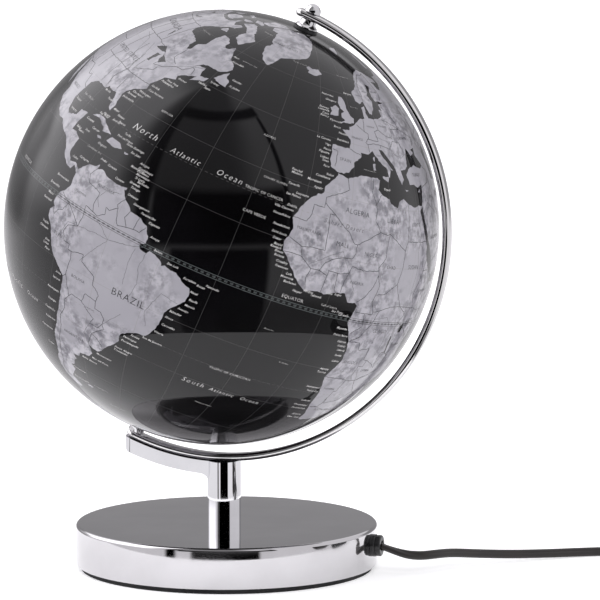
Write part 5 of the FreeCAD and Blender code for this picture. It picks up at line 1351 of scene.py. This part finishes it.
def lettered(name, words, height):
    """Words along their parallels: (word, longitude, latitude, width in mm or 0, -1 to end there)."""
    verts, faces = [], []
    for word, lon, lat, width, direction in words:
        font = bpy.data.curves.new(word, "FONT")
        font.body = word
        font.resolution_u = 2
        font.shear = NAME_SLANT if word.istitle() else 0.0
        font.space_character = WIDE_SET if word.istitle() and width else CLOSE_SET
        font.offset = THINNED if width else THICKENED
        text = bpy.data.objects.new(word, font)
        bpy.context.collection.objects.link(text)
        letters = bpy.data.meshes.new_from_object(text)
        natural = max(v.co.x for v in letters.vertices)
        size = width * MM / natural if width else TOWN_SIZE
        start = -natural if direction < 0 else 0.0
        shrink = cos(radians(lat))
        first = len(verts)
        verts += [(lon + degrees((v.co.x + start) * size / GLOBE_R) / shrink,
                   lat + degrees(v.co.y * size / GLOBE_R)) for v in letters.vertices]
        faces += [tuple(first + k for k in face.vertices) for face in letters.polygons]
        bpy.data.objects.remove(text)
        bpy.data.meshes.remove(letters)
    made = sheet_object(name, verts, faces)
    lay_on_globe(made, height)
    return made


def ink(name, dark, light):
    """Printing ink that lies a little unevenly."""
    material, shader = lacquered(name)
    shade(shader, solid_pattern(shader, in_2=400.0, in_3=2.0), 0.35, 0.65, dark, light)
    return material


dark_ink = ink("dark_ink", (0.012, 0.012, 0.014, 1), (0.05, 0.05, 0.055, 1))
river_ink = ink("river_ink", (0.06, 0.06, 0.07, 1), (0.12, 0.12, 0.13, 1))
pale_ink = ink("pale_ink", (0.42, 0.41, 0.41, 1), (0.62, 0.61, 0.60, 1))
pale_words = [(*word, 1) for word in sea_names]
pale_words += [(*town, 0, 1) for town in towns_east] + [(*town, 0, -1) for town in towns_west]
dark_words = [(*word, 1) for word in land_names]
for print_layer, print_ink in ((ruled("printed_borders", borders, BORDER_WIDTH, PRINT_LIFT), dark_ink),
                               (ruled("printed_rivers", rivers, RIVER_WIDTH, PRINT_LIFT * 0.9), river_ink),
                               (lettered("sea_names", pale_words, PRINT_LIFT * 1.2), pale_ink),
                               (lettered("land_names", dark_words, PRINT_LIFT * 1.2), dark_ink)):
    dress(print_layer, "globe", "globe_plastic", print_ink)


# ---- Lamp inside the ball ----
# An E14 holder of black plastic and white ceramic sits on the lower pivot's tube, with a frosted bulb
# screwed into it. Two silicone-covered wires reach it through the tube.
redress(["lamp_holder_cap", "lamp_holder_sleeve"], moulded("holder_plastic", (0.03, 0.03, 0.03), 0.5))
redress(["lamp_contact"], moulded("holder_ceramic", (0.78, 0.77, 0.72), 0.6, 0.3))
redress(["lamp_wires"], moulded("wire_silicone", (0.66, 0.65, 0.62), 0.6))
nickel = chrome("nickel", (0.72, 0.69, 0.62), 0.12, 0.22, 0.03)
redress(["bulb_cap", "plug_pins"], nickel)
frosted, shader = new_material("frosted_glass", Base_Color=(0.92, 0.92, 0.90, 1), Transmission_Weight=0.6)
roughen(shader, solid_pattern(shader, in_2=300.0), 0.3, 0.7, 0.4, 0.55)
redress(["bulb_glass"], frosted)


# ---- Switch and plug on the lead ----
# An in-line switch in two moulded halves, screwed together round the lead, with a small rocker that
# tips on its own stubs. The plug is moulded onto the lead's end and has two round nickel-plated pins.
switch_plastic = moulded("switch_plastic", (0.018, 0.018, 0.02), 0.28, 0.1, 1400.0)
redress(["switch_base", "switch_cover"], switch_plastic)
redress(["switch_rocker"], moulded("rocker_plastic", (0.02, 0.02, 0.022), 0.2, 0.05, 1400.0))
redress(["plug_body"], moulded("plug_plastic", (0.018, 0.018, 0.02), 0.45, 0.2, 1200.0))
